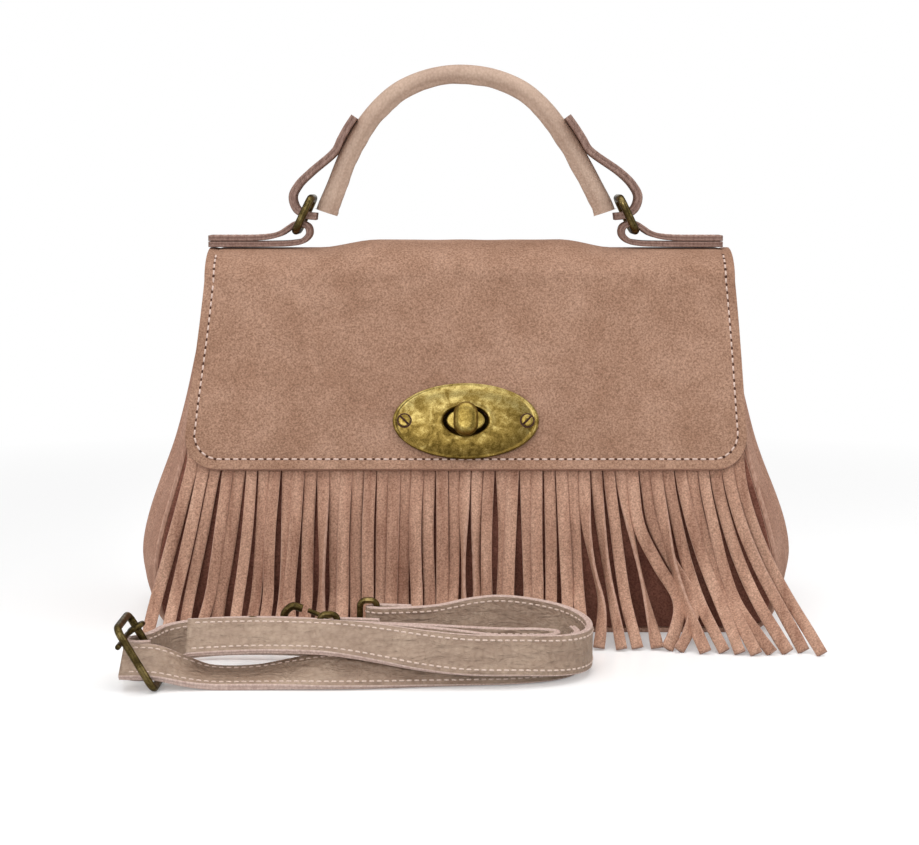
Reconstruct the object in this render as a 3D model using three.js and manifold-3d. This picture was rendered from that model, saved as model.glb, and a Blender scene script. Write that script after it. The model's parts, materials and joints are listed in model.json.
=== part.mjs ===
// A fringed suede handbag with a top handle, a turn lock and a detachable shoulder strap folded in front.
// Millimetres, +Z up, +X to the right seen from the front, the front faces -Y. The origin is under the middle
// of the base.
import * as THREE from "three";
import { mergeVertices } from "three/addons/utils/BufferGeometryUtils.js";
import Module from "manifold-3d";

// Clearances
const seamGap = 0.3; // between leather pieces that are sewn or rest together
const lockGap = 0.8; // between a lock plate and the curved leather under it
const turnGap = 0.35; // round a shaft or a wire that turns

// Body: heights of the four sections, then its half sizes at each
const bellyHeight = 36;
const waistHeight = 95;
const mouthHeight = 172;
const baseBulge = 157; // half width at the middle of the gusset
const bellyBulge = 168;
const waistBulge = 149;
const mouthBulge = 131;
const baseSeam = 150; // half width at the seam between panel and gusset
const bellySeam = 153;
const waistSeam = 139;
const mouthSeam = 128;
const baseDepth = 60.5; // half depth
const bellyDepth = 64;
const waistDepth = 48.5;
const mouthDepth = 23;
const baseCorner = 14; // radius where the gusset turns under the base
const panelThickness = 2.5;
const boardThickness = 2;
const boardInset = 4;
const liningThickness = 1;
const liningInset = 3.2;
const liningDrop = 6; // lining edge below the mouth
const liningCorner = 16;

// Flap
const flapThickness = 3;
const flapBottom = 81.5;
const flapCorner = 17;
const flapTopHalfWidth = 133;
const flapFrontHalfWidth = 138.5;
const flapStandOff = 2.5; // between the front panel and the back of the flap
const flapFlare = 1; // extra stand-off at its lower edge
const crownRise = 19.5; // top of the flap above the mouth
const crownDip = 3.5; // how far the handle anchors press the crown down
const dipStart = 46;
const dipEnd = 74;
const flapBackDrop = 26;

// Fringe
const strandCount = 47;
const strandPitch = 5.85;
const strandWidth = 5.5;
const strandThickness = 1.6;
const bandHeight = 8;
const bandAboveFlapEdge = 3; // lower edge of the band above the flap's edge
const strandSteps = 7;
const strandLayer = 1.9; // every other strand hangs this far in front of its neighbours
const floorClearance = 0.12;

// Turn lock, in the frame of the flap at its centre
const lockHeight = 104;
const plateHalfWidth = 36;
const plateHalfHeight = 19;
const plateThickness = 1.4;
const plateDome = 1.2;
const slotHalfWidth = 11.2;
const slotHalfHeight = 7.5;
const bossHalfWidth = 9.8;
const bossHalfHeight = 6;
const bossAbovePlate = 0.8;
const bossFlange = 1.6;
const flangeThickness = 0.6;
const backingThickness = 0.7;
const backingInset = 2;
const backingRim = 3.2;
const screwOffset = 30.2;
const screwHeadRadius = 2.9;
const screwHeadThickness = 0.9;
const screwShankRadius = 1.3;
const screwSlotWidth = 0.7;
const knobHalfWidth = 5.6;
const knobHalfLength = 8.4;
const knobThickness = 7.5;
const knobStemRadius = 2.6;
const washerRadius = 8.5;
const washerThickness = 0.9;

// Handle, its tabs and rings
const handleTopHeight = 275.7; // middle of the arch at its top
const handleEndRise = 19.7; // ends of the arch above the anchors' seat
const handleEndHalfWidth = 70.6;
const handleEndCut = [75, 18.7, 67, 16]; // outer and inner end of the cut: x, height above the seat
const handleSkew = -2.2; // the soft arch leans this far to the left
const handleTopRadius = 4.9;
const handleEndRadius = 5.8;
const tabThickness = 3.6;
const tabWidth = 16.5;
const anchorThickness = 6.2;
const anchorWidth = 18;
const anchorOuter = 131; // far end of the anchor from the middle
const ringWire = 2; // wire radius
const ringHalfDepth = 12.2; // centre of the side bars
const ringCorner = 4;
const ringLowerBar = [86.4, 8.3]; // x, and height above the anchors' seat
const ringUpperBar = [78.5, 24.7];

// Shoulder strap
const strapWidth = 18;
const strapThickness = 3;
const buckleWire = 1.7;
const buckleHalfHeight = 15.5;
const buckleHalfDepth = 15;
const buckleSlant = 30; // degrees from upright
const bucklePlace = [-144, -162]; // x and y of its middle
const prongWire = 1.2;
const prongHeight = 8.5; // above the middle of the frame
const eyeHalfLength = 4;
const swivelGap = 0.5;
const swivelLength = 8;
const swivelRadius = 3.4;
const stemRadius = 1.5;
const hookWire = 1.9;
const gateWire = 1.1;
const eyeWire = 1.5;
const backHookPlace = [-46, -104]; // x and y of its eye
const frontHookPlace = [-63, -130];
const backHookLift = 5; // lower edge of the strap in its eye
const frontHookLift = 4.2;

// Materials
const material = (color, roughness, metalness = 0) =>
  new THREE.MeshStandardMaterial({ color, roughness, metalness });
const suede = material(0xb28f7c, 0.95);
const suedeFringe = material(0xbe9884, 0.95);
const smoothLeather = material(0xd6baa4, 0.5);
const strapLeather = material(0xbca692, 0.55);
const brass = material(0x96843e, 0.38, 0.9);
const liningCloth = material(0x8a6f5c, 0.85);
const board = material(0x5c4a3c, 0.8);

const wasm = await Module();
wasm.setup();

const bag = new THREE.Group();
const v3 = (x, y, z) => new THREE.Vector3(x, y, z);
const lerp = THREE.MathUtils.lerp;
const steps = (count, from, to) =>
  Array.from({ length: count + 1 }, (_, i) => lerp(from, to, i / count));

// Adds a named mesh to a group.
function piece(name, geometry, finish, parent = bag) {
  const mesh = new THREE.Mesh(geometry, finish);
  mesh.name = name;
  geometry.computeVertexNormals();
  parent.add(mesh);
  return mesh;
}

// A smooth curve through knots of [place, value], as a function of the place.
function profile(knots) {
  const slopeAt = (i) => {
    const a = knots[Math.max(i - 1, 0)];
    const b = knots[Math.min(i + 1, knots.length - 1)];
    return (b[1] - a[1]) / (b[0] - a[0]);
  };
  return (place) => {
    const x = THREE.MathUtils.clamp(place, knots[0][0], knots.at(-1)[0]);
    const found = knots.findIndex((knot) => x < knot[0]);
    const i = found < 0 ? knots.length - 2 : Math.max(found - 1, 0);
    const span = knots[i + 1][0] - knots[i][0];
    const t = (x - knots[i][0]) / span;
    const rise = t * t * (3 - 2 * t);
    const from = (t - 2 * t * t + t * t * t) * slopeAt(i) * span;
    const to = (t * t * t - t * t) * slopeAt(i + 1) * span;
    return lerp(knots[i][1], knots[i + 1][1], rise) + from + to;
  };
}

const halfBulge = profile([
  [0, baseBulge],
  [bellyHeight, bellyBulge],
  [waistHeight, waistBulge],
  [mouthHeight, mouthBulge],
]);
const halfSeam = profile([
  [0, baseSeam],
  [bellyHeight, bellySeam],
  [waistHeight, waistSeam],
  [mouthHeight, mouthSeam],
]);
const halfDepth = profile([
  [0, baseDepth],
  [bellyHeight, bellyDepth],
  [waistHeight, waistDepth],
  [mouthHeight, mouthDepth],
]);

// A closed body through rings of points; open ends are capped by strips between opposite points.
function loft(rings, closed = false) {
  const count = rings[0].length;
  const index = [];
  rings.forEach((_, r) => {
    if (r === rings.length - 1 && !closed) return;
    const a = r * count;
    const b = ((r + 1) % rings.length) * count;
    for (let k = 0; k < count; k++) {
      const n = (k + 1) % count;
      index.push(a + k, a + n, b + k, a + n, b + n, b + k);
    }
  });
  const last = (rings.length - 1) * count;
  for (let k = 0; k < count / 2 - 1 && !closed; k++) {
    const m = count - 1 - k;
    index.push(k + 1, k, m, k + 1, m, m - 1);
    index.push(last + k, last + k + 1, last + m, last + k + 1, last + m - 1, last + m);
  }
  const points = rings.flat();
  const corner = v3(0, 0, 0);
  let volume = 0;
  for (let i = 0; i < index.length; i += 3) {
    corner.crossVectors(points[index[i + 1]], points[index[i + 2]]);
    volume += points[index[i]].dot(corner);
  }
  if (volume < 0) index.reverse();
  return new THREE.BufferGeometry().setFromPoints(points).setIndex(index);
}

// Leather of one thickness under a grid of surface points; side is +1 or -1 for the way to its back.
function leather(rows, thickness, side) {
  const at = (r, c) => rows[Math.min(Math.max(r, 0), rows.length - 1)][c];
  const rings = rows.map((row, r) => {
    const back = row.map((point, c) => {
      const along = at(r + 1, c).clone().sub(at(r - 1, c));
      const across = row[Math.min(c + 1, row.length - 1)].clone().sub(row[Math.max(c - 1, 0)]);
      const normal = across.cross(along).normalize();
      return point.clone().addScaledVector(normal, side * thickness);
    });
    return [...row, ...back.reverse()];
  });
  return loft(rings);
}

// A section swept along points. The section function gives [side, up] pairs for a station.
function sweep(points, hint, section, closed = false) {
  const n = points.length;
  const rings = points.map((point, i) => {
    const next = points[closed ? (i + 1) % n : Math.min(i + 1, n - 1)];
    const before = points[closed ? (i + n - 1) % n : Math.max(i - 1, 0)];
    const along = next.clone().sub(before).normalize();
    const side = hint.clone().cross(along).normalize();
    const up = along.clone().cross(side);
    return section(i, i / (n - 1)).map(([a, b]) =>
      point.clone().addScaledVector(side, a).addScaledVector(up, b),
    );
  });
  return loft(rings, closed);
}

const circle = (radius, sides) =>
  Array.from({ length: sides }, (_, k) => {
    const angle = (2 * Math.PI * k) / sides;
    return [radius * Math.cos(angle), radius * Math.sin(angle)];
  });

// A round wire along points.
const wire = (points, hint, radius, sides = 8, closed = false) =>
  sweep(points, hint, () => circle(radius, sides), closed);

// A rounded rectangle of points in the plane of two unit vectors.
function roundedLoop(centre, across, along, halfAcross, halfAlong, radius, arcSteps = 4) {
  const quarters = [
    [1, 1],
    [-1, 1],
    [-1, -1],
    [1, -1],
  ];
  return quarters.flatMap(([sx, sy], q) =>
    steps(arcSteps, 0, 1).map((t) => {
      const angle = (q + t) * (Math.PI / 2);
      const a = sx * (halfAcross - radius) + radius * Math.cos(angle);
      const b = sy * (halfAlong - radius) + radius * Math.sin(angle);
      return centre.clone().addScaledVector(across, a).addScaledVector(along, b);
    }),
  );
}

// Joins and cuts
function solidOf(geometry) {
  const bare = new THREE.BufferGeometry();
  bare.setAttribute("position", geometry.getAttribute("position"));
  bare.setIndex(geometry.index);
  const merged = mergeVertices(bare, 1e-4);
  return new wasm.Manifold(
    new wasm.Mesh({
      numProp: 3,
      vertProperties: new Float32Array(merged.attributes.position.array),
      triVerts: new Uint32Array(merged.index.array),
    }),
  );
}

function geometryOf(solid) {
  const mesh = solid.getMesh();
  const geometry = new THREE.BufferGeometry();
  geometry.setAttribute("position", new THREE.BufferAttribute(mesh.vertProperties, 3));
  return geometry.setIndex(new THREE.BufferAttribute(mesh.triVerts, 1));
}

const cut = (geometry, ...tools) =>
  geometryOf(tools.reduce((body, tool) => body.subtract(solidOf(tool)), solidOf(geometry)));
const join = (...geometries) =>
  geometryOf(geometries.map(solidOf).reduce((body, other) => body.add(other)));

// An upright oval prism between two heights of its own frame, with its upper face drawn in by a share.
function oval(halfWidth, halfHeight, from, to, sides = 32, topShare = 1) {
  const ring = (z, share) =>
    Array.from({ length: sides }, (_, k) => {
      const angle = (2 * Math.PI * k) / sides;
      return v3(share * halfWidth * Math.cos(angle), share * halfHeight * Math.sin(angle), z);
    });
  return loft([ring(from, 1), ring(to, topShare)]);
}

// Body

// Half width of the room inside the gusset's edge at a height.
function insideSeam(z, inset) {
  const corner = baseCorner - inset;
  const centre = halfSeam(baseCorner) - baseCorner;
  if (z >= baseCorner) return halfSeam(z) - inset;
  return centre + Math.sqrt(Math.max(corner ** 2 - (baseCorner - z) ** 2, 0));
}

function gusset() {
  const heights = [...steps(7, mouthHeight, bellyHeight), ...steps(2, bellyHeight, baseCorner).slice(1)];
  const side = heights.map((z) => ({ seam: halfSeam(z), bulge: halfBulge(z), z }));
  const turn = steps(4, 0, Math.PI / 2)
    .slice(1)
    .map((angle) => {
      const inward = baseCorner * (1 - Math.cos(angle));
      const z = baseCorner * (1 - Math.sin(angle));
      return { seam: halfSeam(baseCorner) - inward, bulge: halfBulge(baseCorner) - inward, z };
    });
  const flat = [0.5, 0].map((share) => {
    const end = turn.at(-1);
    return { seam: end.seam * share, bulge: end.bulge * share, z: 0 };
  });
  const right = [...side, ...turn, ...flat];
  const left = right
    .slice(0, -1)
    .reverse()
    .map(({ seam, bulge, z }) => ({ seam: -seam, bulge: -bulge, z }));
  const rows = [...right, ...left].map(({ seam, bulge, z }) =>
    steps(6, -1, 1).map((across) =>
      v3(lerp(seam, bulge, 1 - across ** 2), across * halfDepth(z), z),
    ),
  );
  return leather(rows, panelThickness, 1);
}

function panel(facing) {
  const inset = panelThickness + seamGap;
  const heights = [inset, 4.5, 8, baseCorner, ...steps(7, bellyHeight / 1.6, mouthHeight)];
  const rows = heights.map((z) => {
    const half = insideSeam(z, inset);
    return steps(8, -half, half).map((x) => v3(x, facing * halfDepth(z), z));
  });
  return leather(rows, panelThickness, facing);
}

// Rounded rectangle ring of the inside at a height.
function insideRing(z, inset, corner) {
  const halfX = insideSeam(z, inset);
  const halfY = halfDepth(z) - inset;
  const radius = Math.min(corner, halfY * 0.7);
  return roundedLoop(v3(0, 0, z), v3(1, 0, 0), v3(0, 1, 0), halfX, halfY, radius, 3);
}

function baseBoard() {
  const bottom = panelThickness + seamGap;
  const inset = panelThickness + boardInset;
  const ring = (z) => insideRing(bottom, inset, liningCorner).map((p) => v3(p.x, p.y, z));
  return loft([ring(bottom), ring(bottom + boardThickness)]);
}

function lining() {
  const floor = panelThickness + boardThickness + 2 * seamGap;
  const inset = panelThickness + liningInset;
  const heights = [floor, 8, baseCorner, ...steps(5, bellyHeight, mouthHeight - liningDrop)];
  const outer = heights.map((z) => insideRing(z, inset, liningCorner));
  const inner = heights.map((z, i) => {
    const ring = insideRing(i ? z : floor, inset + liningThickness, liningCorner);
    return ring.map((p) => v3(p.x, p.y, i ? z : floor + liningThickness));
  });
  return loft([...outer, ...inner.reverse()]);
}

// Flap

const bandStandOff = seamGap + strandThickness;
const flapReach = flapStandOff + flapThickness;
const flareAt = (z) => {
  const share = THREE.MathUtils.clamp((waistHeight - z) / (waistHeight - flapBottom), 0, 1);
  return flapFlare * share * share;
};
const flapFrontY = (z) => -(halfDepth(z) + flapReach + flareAt(z));
const anchorSeat = mouthHeight + crownRise - crownDip + seamGap;
const aboveSeat = ([x, rise]) => [x, anchorSeat + rise];
const ringLower = aboveSeat(ringLowerBar);
const ringUpper = aboveSeat(ringUpperBar);

// Half width of the flap at a distance from its lower edge.
function flapHalfWidth(z) {
  const rise = z - flapBottom;
  const share = THREE.MathUtils.clamp(rise / (mouthHeight - flapBottom), 0, 1);
  const half = lerp(flapFrontHalfWidth, flapTopHalfWidth, share);
  if (rise >= flapCorner) return half;
  return half - flapCorner + Math.sqrt(flapCorner ** 2 - (flapCorner - rise) ** 2);
}

function flapRow(y, z, half, dip) {
  const shares = [-1, -0.9, -0.7, -0.55, -0.45, -0.34, 0, 0.34, 0.45, 0.55, 0.7, 0.9, 1];
  return shares.map((share) => {
    const x = share * half;
    const press = THREE.MathUtils.smoothstep(Math.abs(x), dipStart, dipEnd) * dip;
    return v3(x, y, z - press);
  });
}

function flap() {
  const cornerHeights = steps(4, Math.PI / 2, 0).map((a) => flapBottom + flapCorner * (1 - Math.sin(a)));
  const heights = [...cornerHeights, ...steps(5, flapBottom + flapCorner, mouthHeight).slice(1)];
  const front = heights.map((z) => flapRow(flapFrontY(z), z, flapHalfWidth(z), 0));
  const backReach = seamGap + flapThickness;
  const crown = steps(10, 0, Math.PI)
    .slice(1, -1)
    .map((angle) => {
      const reach = lerp(flapReach, backReach, angle / Math.PI);
      const y = -(mouthDepth + reach) * Math.cos(angle);
      const z = mouthHeight + crownRise * Math.sin(angle);
      return flapRow(y, z, flapTopHalfWidth, crownDip * Math.sin(angle));
    });
  const back = steps(2, mouthHeight, mouthHeight - flapBackDrop).map((z) =>
    flapRow(halfDepth(z) + backReach, z, flapTopHalfWidth, 0),
  );
  return leather([...front, ...crown, ...back], flapThickness, -1);
}

// Turn lock: a group on the flap with its own +Z out of the leather
const lockSlope = (halfDepth(lockHeight - 1) - halfDepth(lockHeight + 1)) / 2;
const lockTilt = Math.atan(lockSlope);
const lock = new THREE.Group();
lock.position.set(0, flapFrontY(lockHeight), lockHeight);
lock.rotation.x = Math.PI / 2 - lockTilt;
bag.add(lock);
lock.updateMatrixWorld(true);

// Depths in the lock's frame, from the face of the flap
const panelFace = -(flapReach + flareAt(lockHeight)) * Math.cos(lockTilt);
const panelBack = panelFace - panelThickness;
const plateBack = lockGap;
const plateFace = plateBack + plateThickness;

const inLockFrame = (geometry) => geometry.clone().applyMatrix4(lock.matrixWorld);
const screwPlaces = { left: -screwOffset, right: screwOffset };
const screwHoles = Object.values(screwPlaces).map((x) =>
  oval(screwShankRadius + turnGap, screwShankRadius + turnGap, -20, 20, 12).translate(x, 0, 0),
);
const slotThrough = (margin) =>
  oval(slotHalfWidth + margin, slotHalfHeight + margin, -flapReach, 20, 28);

function lockPlate() {
  const ring = (z, share) =>
    Array.from({ length: 32 }, (_, k) => {
      const angle = (2 * Math.PI * k) / 32;
      return v3(share * plateHalfWidth * Math.cos(angle), share * plateHalfHeight * Math.sin(angle), z);
    });
  const edge = plateBack + plateThickness * 0.6;
  const dome = [
    [plateBack, 1],
    [edge, 1],
    [plateFace, 0.975],
    [plateFace + plateDome * 0.5, 0.9],
    [plateFace + plateDome, 0.62],
  ];
  const headSeats = Object.values(screwPlaces).map((x) =>
    oval(screwHeadRadius + turnGap, screwHeadRadius + turnGap, plateFace, 20, 16).translate(x, 0, 0),
  );
  const body = loft(dome.map(([z, share]) => ring(z, share)));
  return cut(body, slotThrough(0), ...screwHoles, ...headSeats);
}

function lockScrew(x, slotAngle) {
  const seat = plateFace + seamGap;
  const head = oval(screwHeadRadius, screwHeadRadius, seat, seat + screwHeadThickness, 16, 0.85);
  const shank = oval(screwShankRadius, screwShankRadius, backingBack, seat + 0.2, 12);
  const slot = new THREE.BoxGeometry(screwHeadRadius * 3, screwSlotWidth, 0.8);
  slot.rotateZ(slotAngle).translate(0, 0, seat + screwHeadThickness);
  return cut(join(head, shank), slot).translate(x, 0, 0);
}

// The backing plate lies behind the flap, the base on the front panel, the washer inside the panel
const backingFace = -flapThickness - seamGap - 0.15;
const backingBack = backingFace - backingThickness;

function lockBacking() {
  const halfWidth = plateHalfWidth - backingInset;
  const halfHeight = slotHalfHeight + backingRim;
  const shaftHoles = Object.values(screwPlaces).map((x) =>
    oval(screwShankRadius + turnGap, screwShankRadius + turnGap, -20, 20, 12).translate(x, 0, 0),
  );
  return cut(oval(halfWidth, halfHeight, backingBack, backingFace, 32), slotThrough(0.6), ...shaftHoles);
}

const bossTop = plateFace + plateDome + bossAbovePlate;
const flangeBack = panelFace + seamGap;
const washerFace = panelBack - seamGap;
const studHole = () => oval(knobStemRadius + 1.4, knobStemRadius + 1.4, -30, 30, 16);
const stemHole = () => oval(knobStemRadius + turnGap, knobStemRadius + turnGap, -30, 30, 16);

function lockBase() {
  const flangeSize = [bossHalfWidth + bossFlange, bossHalfHeight + bossFlange];
  const flange = oval(...flangeSize, flangeBack, flangeBack + flangeThickness, 28);
  const boss = oval(bossHalfWidth, bossHalfHeight, flangeBack, bossTop, 28, 0.94);
  const stud = oval(knobStemRadius + 1, knobStemRadius + 1, washerFace - washerThickness, flangeBack + 1, 16);
  return cut(join(flange, boss, stud), stemHole());
}

function lockWasher() {
  const disc = oval(washerRadius, washerRadius, washerFace - washerThickness, washerFace, 24);
  return cut(disc, oval(knobStemRadius + 1.3, knobStemRadius + 1.3, -30, 30, 16));
}

function turnKnob() {
  const from = bossTop + turnGap;
  const rings = [
    [0, 0.8],
    [0.18, 0.97],
    [0.5, 1],
    [0.82, 0.9],
    [1, 0.66],
  ];
  const pill = (z, share) => {
    const halfWidth = knobHalfWidth * share;
    const halfLength = knobHalfLength * share;
    return roundedLoop(v3(0, 0, z), v3(1, 0, 0), v3(0, 1, 0), halfWidth, halfLength, halfWidth * 0.98, 5);
  };
  const head = loft(rings.map(([t, share]) => pill(from + knobThickness * t, share)));
  const stem = oval(knobStemRadius, knobStemRadius, washerFace - washerThickness, from + 1, 16);
  return join(head, stem);
}

// Fringe

// A repeatable random number from 0 to 1 for a strand and a use.
function chance(strand, use) {
  const wave = Math.sin(strand * 12.9898 + use * 78.233) * 43758.5453;
  return wave - Math.floor(wave);
}
const around = (strand, use, size) => size * (2 * chance(strand, use) - 1);

const fringeTop = flapBottom + bandAboveFlapEdge + bandHeight;
const fringeRoot = flapBottom + bandAboveFlapEdge;
const fringeHalfWidth = (strandCount * strandPitch) / 2;

// How far a strand's tip swings sideways and forward, by its place across the bag.
const sideSwing = profile([
  [-1, -26],
  [-0.86, -9],
  [-0.6, -2],
  [0.3, 0],
  [0.5, 12],
  [0.72, 22],
  [1, 33],
]);
const tipReach = profile([
  [-1, -82],
  [-0.5, -84],
  [0.3, -86],
  [0.45, -96],
  [0.7, -104],
  [1, -108],
]);
// Strands that turn edge-on: strand number, turn in degrees at mid length
const edgeOnStrands = new Map([
  [11, 70],
  [23, 85],
  [24, -60],
  [33, 75],
  [34, 60],
  [36, -80],
  [39, 60],
]);

// Heights of a strand's stations as shares of its root's
const strandShares = [1, 0.852, 0.639, 0.426, 0.237, 0.095, 0.0166];

function strand(number) {
  const place = (number - (strandCount - 1) / 2) / ((strandCount - 1) / 2);
  const rootX = (number - (strandCount - 1) / 2) * strandPitch;
  const swing = sideSwing(place) + around(number, 1, 1.6);
  const reach = tipReach(place) + around(number, 2, 4);
  const bow = around(number, 3, 1.3);
  const turn = THREE.MathUtils.degToRad(edgeOnStrands.get(number) ?? around(number, 4, 13));
  const heights = [fringeTop - 2, ...strandShares.map((share) => share * fringeRoot)];
  const route = heights.map((z, i) => {
    const drop = THREE.MathUtils.clamp((fringeRoot - z) / fringeRoot, 0, 1);
    const layer = (number % 2) * strandLayer * THREE.MathUtils.smoothstep(drop, 0, 0.25);
    const room = i < 3 ? 0 : 2.4 * Math.abs(Math.sin(turn));
    const slack = i < 2 ? 0.15 : 0.5 + room + layer;
    const rest = -(halfDepth(z) + bandStandOff - strandThickness / 2 + slack + 2 * drop);
    const out = THREE.MathUtils.smoothstep(drop, 0.62, 1) ** 1.2;
    const x = rootX + swing * drop ** 1.55 + bow * Math.sin(Math.PI * drop);
    return v3(x, Math.min(rest, lerp(rest, reach - (number % 2) * strandLayer, out)), z);
  });
  const curve = new THREE.CatmullRomCurve3(route, false, "centripetal");
  const points = curve.getPoints(strandSteps);
  const section = (i, share) => {
    const angle = turn * Math.sin(Math.PI * THREE.MathUtils.clamp((share - 0.28) / 0.66, 0, 1));
    const halfWidth = strandWidth / 2;
    const halfThickness = strandThickness / 2;
    return [
      [halfWidth, halfThickness],
      [-halfWidth, halfThickness],
      [-halfWidth, -halfThickness],
      [halfWidth, -halfThickness],
    ].map(([a, b]) => [a * Math.cos(angle) - b * Math.sin(angle), a * Math.sin(angle) + b * Math.cos(angle)]);
  };
  const body = sweep(points, v3(0, 1, 0), section);
  const position = body.getAttribute("position");
  for (let i = 0; i < position.count; i++)
    position.setZ(i, Math.max(position.getZ(i), floorClearance + strandThickness * (i % 2) * 0.5));
  return body;
}

function fringe() {
  const heights = [fringeRoot, (fringeRoot + fringeTop) / 2, fringeTop];
  const rows = heights.map((z) =>
    steps(6, -fringeHalfWidth, fringeHalfWidth).map((x) => v3(x, -(halfDepth(z) + bandStandOff), z)),
  );
  const band = leather(rows, strandThickness, -1);
  const strands = Array.from({ length: strandCount }, (_, number) => strand(number));
  return join(band, ...strands);
}

// Handle, tabs, rings and anchors; side is -1 on the left and 1 on the right

// Half of the arch: share of its half width, share of its height
const handleArch = [
  [1.02, -0.08],
  [1, 0],
  [0.93, 0.157],
  [0.827, 0.384],
  [0.709, 0.591],
  [0.562, 0.775],
  [0.426, 0.886],
  [0.22, 0.972],
  [0, 1],
];

function handleCurve() {
  const end = anchorSeat + handleEndRise;
  const place = (side) => ([across, rise]) => {
    const skew = handleSkew * THREE.MathUtils.smoothstep(rise, 0, 0.6);
    return v3(side * across * handleEndHalfWidth + skew, 0, lerp(end, handleTopHeight, rise));
  };
  const right = handleArch.slice(0, -1).reverse();
  const points = [...handleArch.map(place(-1)), ...right.map(place(1))];
  return new THREE.CatmullRomCurve3(points, false, "centripetal");
}

function handle() {
  const points = handleCurve().getPoints(30);
  const arch = sweep(points, v3(0, 1, 0), (_, share) => {
    const middle = Math.sin(Math.PI * share) ** 0.8;
    return circle(lerp(handleEndRadius, handleTopRadius, middle), 10);
  });
  const [outerX, outerRise, innerX, innerRise] = handleEndCut;
  const below = (side) => {
    const tilt = Math.atan2(outerRise - innerRise, outerX - innerX);
    const block = new THREE.BoxGeometry(30, 30, 20).translate(0, 0, -10).rotateY(-side * tilt);
    return block.translate((side * (outerX + innerX)) / 2, 0, anchorSeat + (outerRise + innerRise) / 2);
  };
  return cut(arch, below(-1), below(1));
}

// A strip of constant thickness along points in the XZ plane, extruded across the bag.
function strip(route, thickness, width, samples) {
  const curve = new THREE.SplineCurve(route.map(([x, z]) => new THREE.Vector2(x, z)));
  const points = curve.getSpacedPoints(samples).map((p) => v3(p.x, 0, p.y));
  const half = [thickness / 2, width / 2];
  return sweep(points, v3(0, 1, 0), () => [
    [half[0], half[1]],
    [-half[0], half[1]],
    [-half[0], -half[1]],
    [half[0], -half[1]],
  ]);
}

function handleTab(side) {
  const out = tabThickness / 2 + handleEndRadius + seamGap;
  const curve = handleCurve();
  const upper = [0.26, 0.235, 0.21, 0.187, 0.167].map((share) => {
    const p = curve.getPoint(side < 0 ? share : 1 - share);
    const t = curve.getTangent(side < 0 ? share : 1 - share);
    return [p.x - t.z * out, p.z + t.x * out];
  });
  const loop = [
    [1.4, 12.8],
    [6.6, 7.2],
    [9.8, 0.9],
    [7.6, -5.6],
    [2.6, -8.6],
    [-2.4, -9.3],
  ].map(([x, z]) => [side * (ringUpper[0] + x), ringUpper[1] + z]);
  return strip([...upper, ...loop], tabThickness, tabWidth, 30);
}

function ring(side) {
  const lower = v3(side * ringLower[0], 0, ringLower[1]);
  const upper = v3(side * ringUpper[0], 0, ringUpper[1]);
  const along = upper.clone().sub(lower);
  const centre = lower.clone().addScaledVector(along, 0.5);
  const halfLength = along.length() / 2;
  along.normalize();
  const depthwise = v3(0, 1, 0);
  const points = roundedLoop(centre, depthwise, along, ringHalfDepth, halfLength, ringCorner, 4);
  const normal = depthwise.cross(along).normalize();
  return wire(points, normal, ringWire, 8, true);
}

function anchor(side) {
  const [barX, barZ] = ringLower;
  const top = anchorSeat + anchorThickness;
  const loopTop = barZ + ringWire + turnGap * 2 + 2.4;
  const shape = new THREE.Shape();
  shape.moveTo(anchorOuter, anchorSeat);
  shape.lineTo(anchorOuter, top);
  shape.lineTo(barX + 13, top + 0.3);
  shape.quadraticCurveTo(barX + 6, top + 1, barX + 3.4, loopTop - 1.2);
  shape.quadraticCurveTo(barX, loopTop + 0.8, barX - 3.6, loopTop - 1.4);
  shape.quadraticCurveTo(barX - 7.6, barZ, barX - 8, barZ - 3.6);
  shape.quadraticCurveTo(barX - 8, anchorSeat, barX - 5, anchorSeat);
  const hole = new THREE.Path();
  hole.absellipse(barX - 0.4, barZ - 0.4, ringWire + 1, ringWire + 1.1, 0, 2 * Math.PI, true);
  shape.holes.push(hole);
  const extrusion = { depth: anchorWidth, bevelEnabled: false, curveSegments: 6 };
  const body = new THREE.ExtrudeGeometry(shape, extrusion);
  body.rotateX(Math.PI / 2).translate(0, anchorWidth / 2, 0);
  if (side < 0) body.rotateZ(Math.PI);
  return body;
}

// Shoulder strap

// Routes of a strap's lower edge: x, y, lift off the floor, lean of its upper edge to the left of its run
const longRoute = [
  [-26, -102.4, backHookLift, 0],
  [-35, -101, backHookLift, 0],
  [-42, -100.4, backHookLift, 0],
  [-45.8, -104, backHookLift, 0],
  [-42, -107.6, backHookLift, 0],
  [-33, -107.2, backHookLift, 0],
  [-14, -105, 5.6, 0],
  [4, -99.5, 8, 0],
  [16, -98, 8.7, 0],
  [32, -100.5, 7.6, 0],
  [46, -108, 5.8, 0],
  [54.5, -121, 4, 0],
  [56, -136, 3, 0],
  [52.5, -150, 3, -4],
  [44, -160, 3.5, -10],
  [24, -168, 5, -17],
  [0, -170, 5.8, -20],
  [-20, -170.2, 8, -29],
  [-35, -169.6, 10.6, -38],
  [-50, -168.4, 12.9, -45],
  [-64, -167, 14.2, -50],
  [-93, -166, 14.6, -48],
  [-112, -165.5, 13.8, -45],
  [-124, -165, 13, -42],
];
const tailRoute = [
  [-152, -173, 4.6, 50],
  [-137, -173.5, 4.4, 52],
  [-122, -172.5, 1.2, 66],
  [-112, -172, 0, 75],
  [-93, -172, 0, 74],
  [-78, -172, 0, 62],
  [-64, -172, 0, 48],
  [-50, -171.4, 0, 42],
  [-35, -169.8, 0, 34],
  [-20, -167.6, 0, 27],
  [0, -165, 0, 18],
  [22, -161.6, 0, 12],
  [38, -155, 0, 8],
  [47.5, -145, 0, 4],
  [50.5, -134, 0, 0],
  [49, -124, 0, 0],
];
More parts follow.
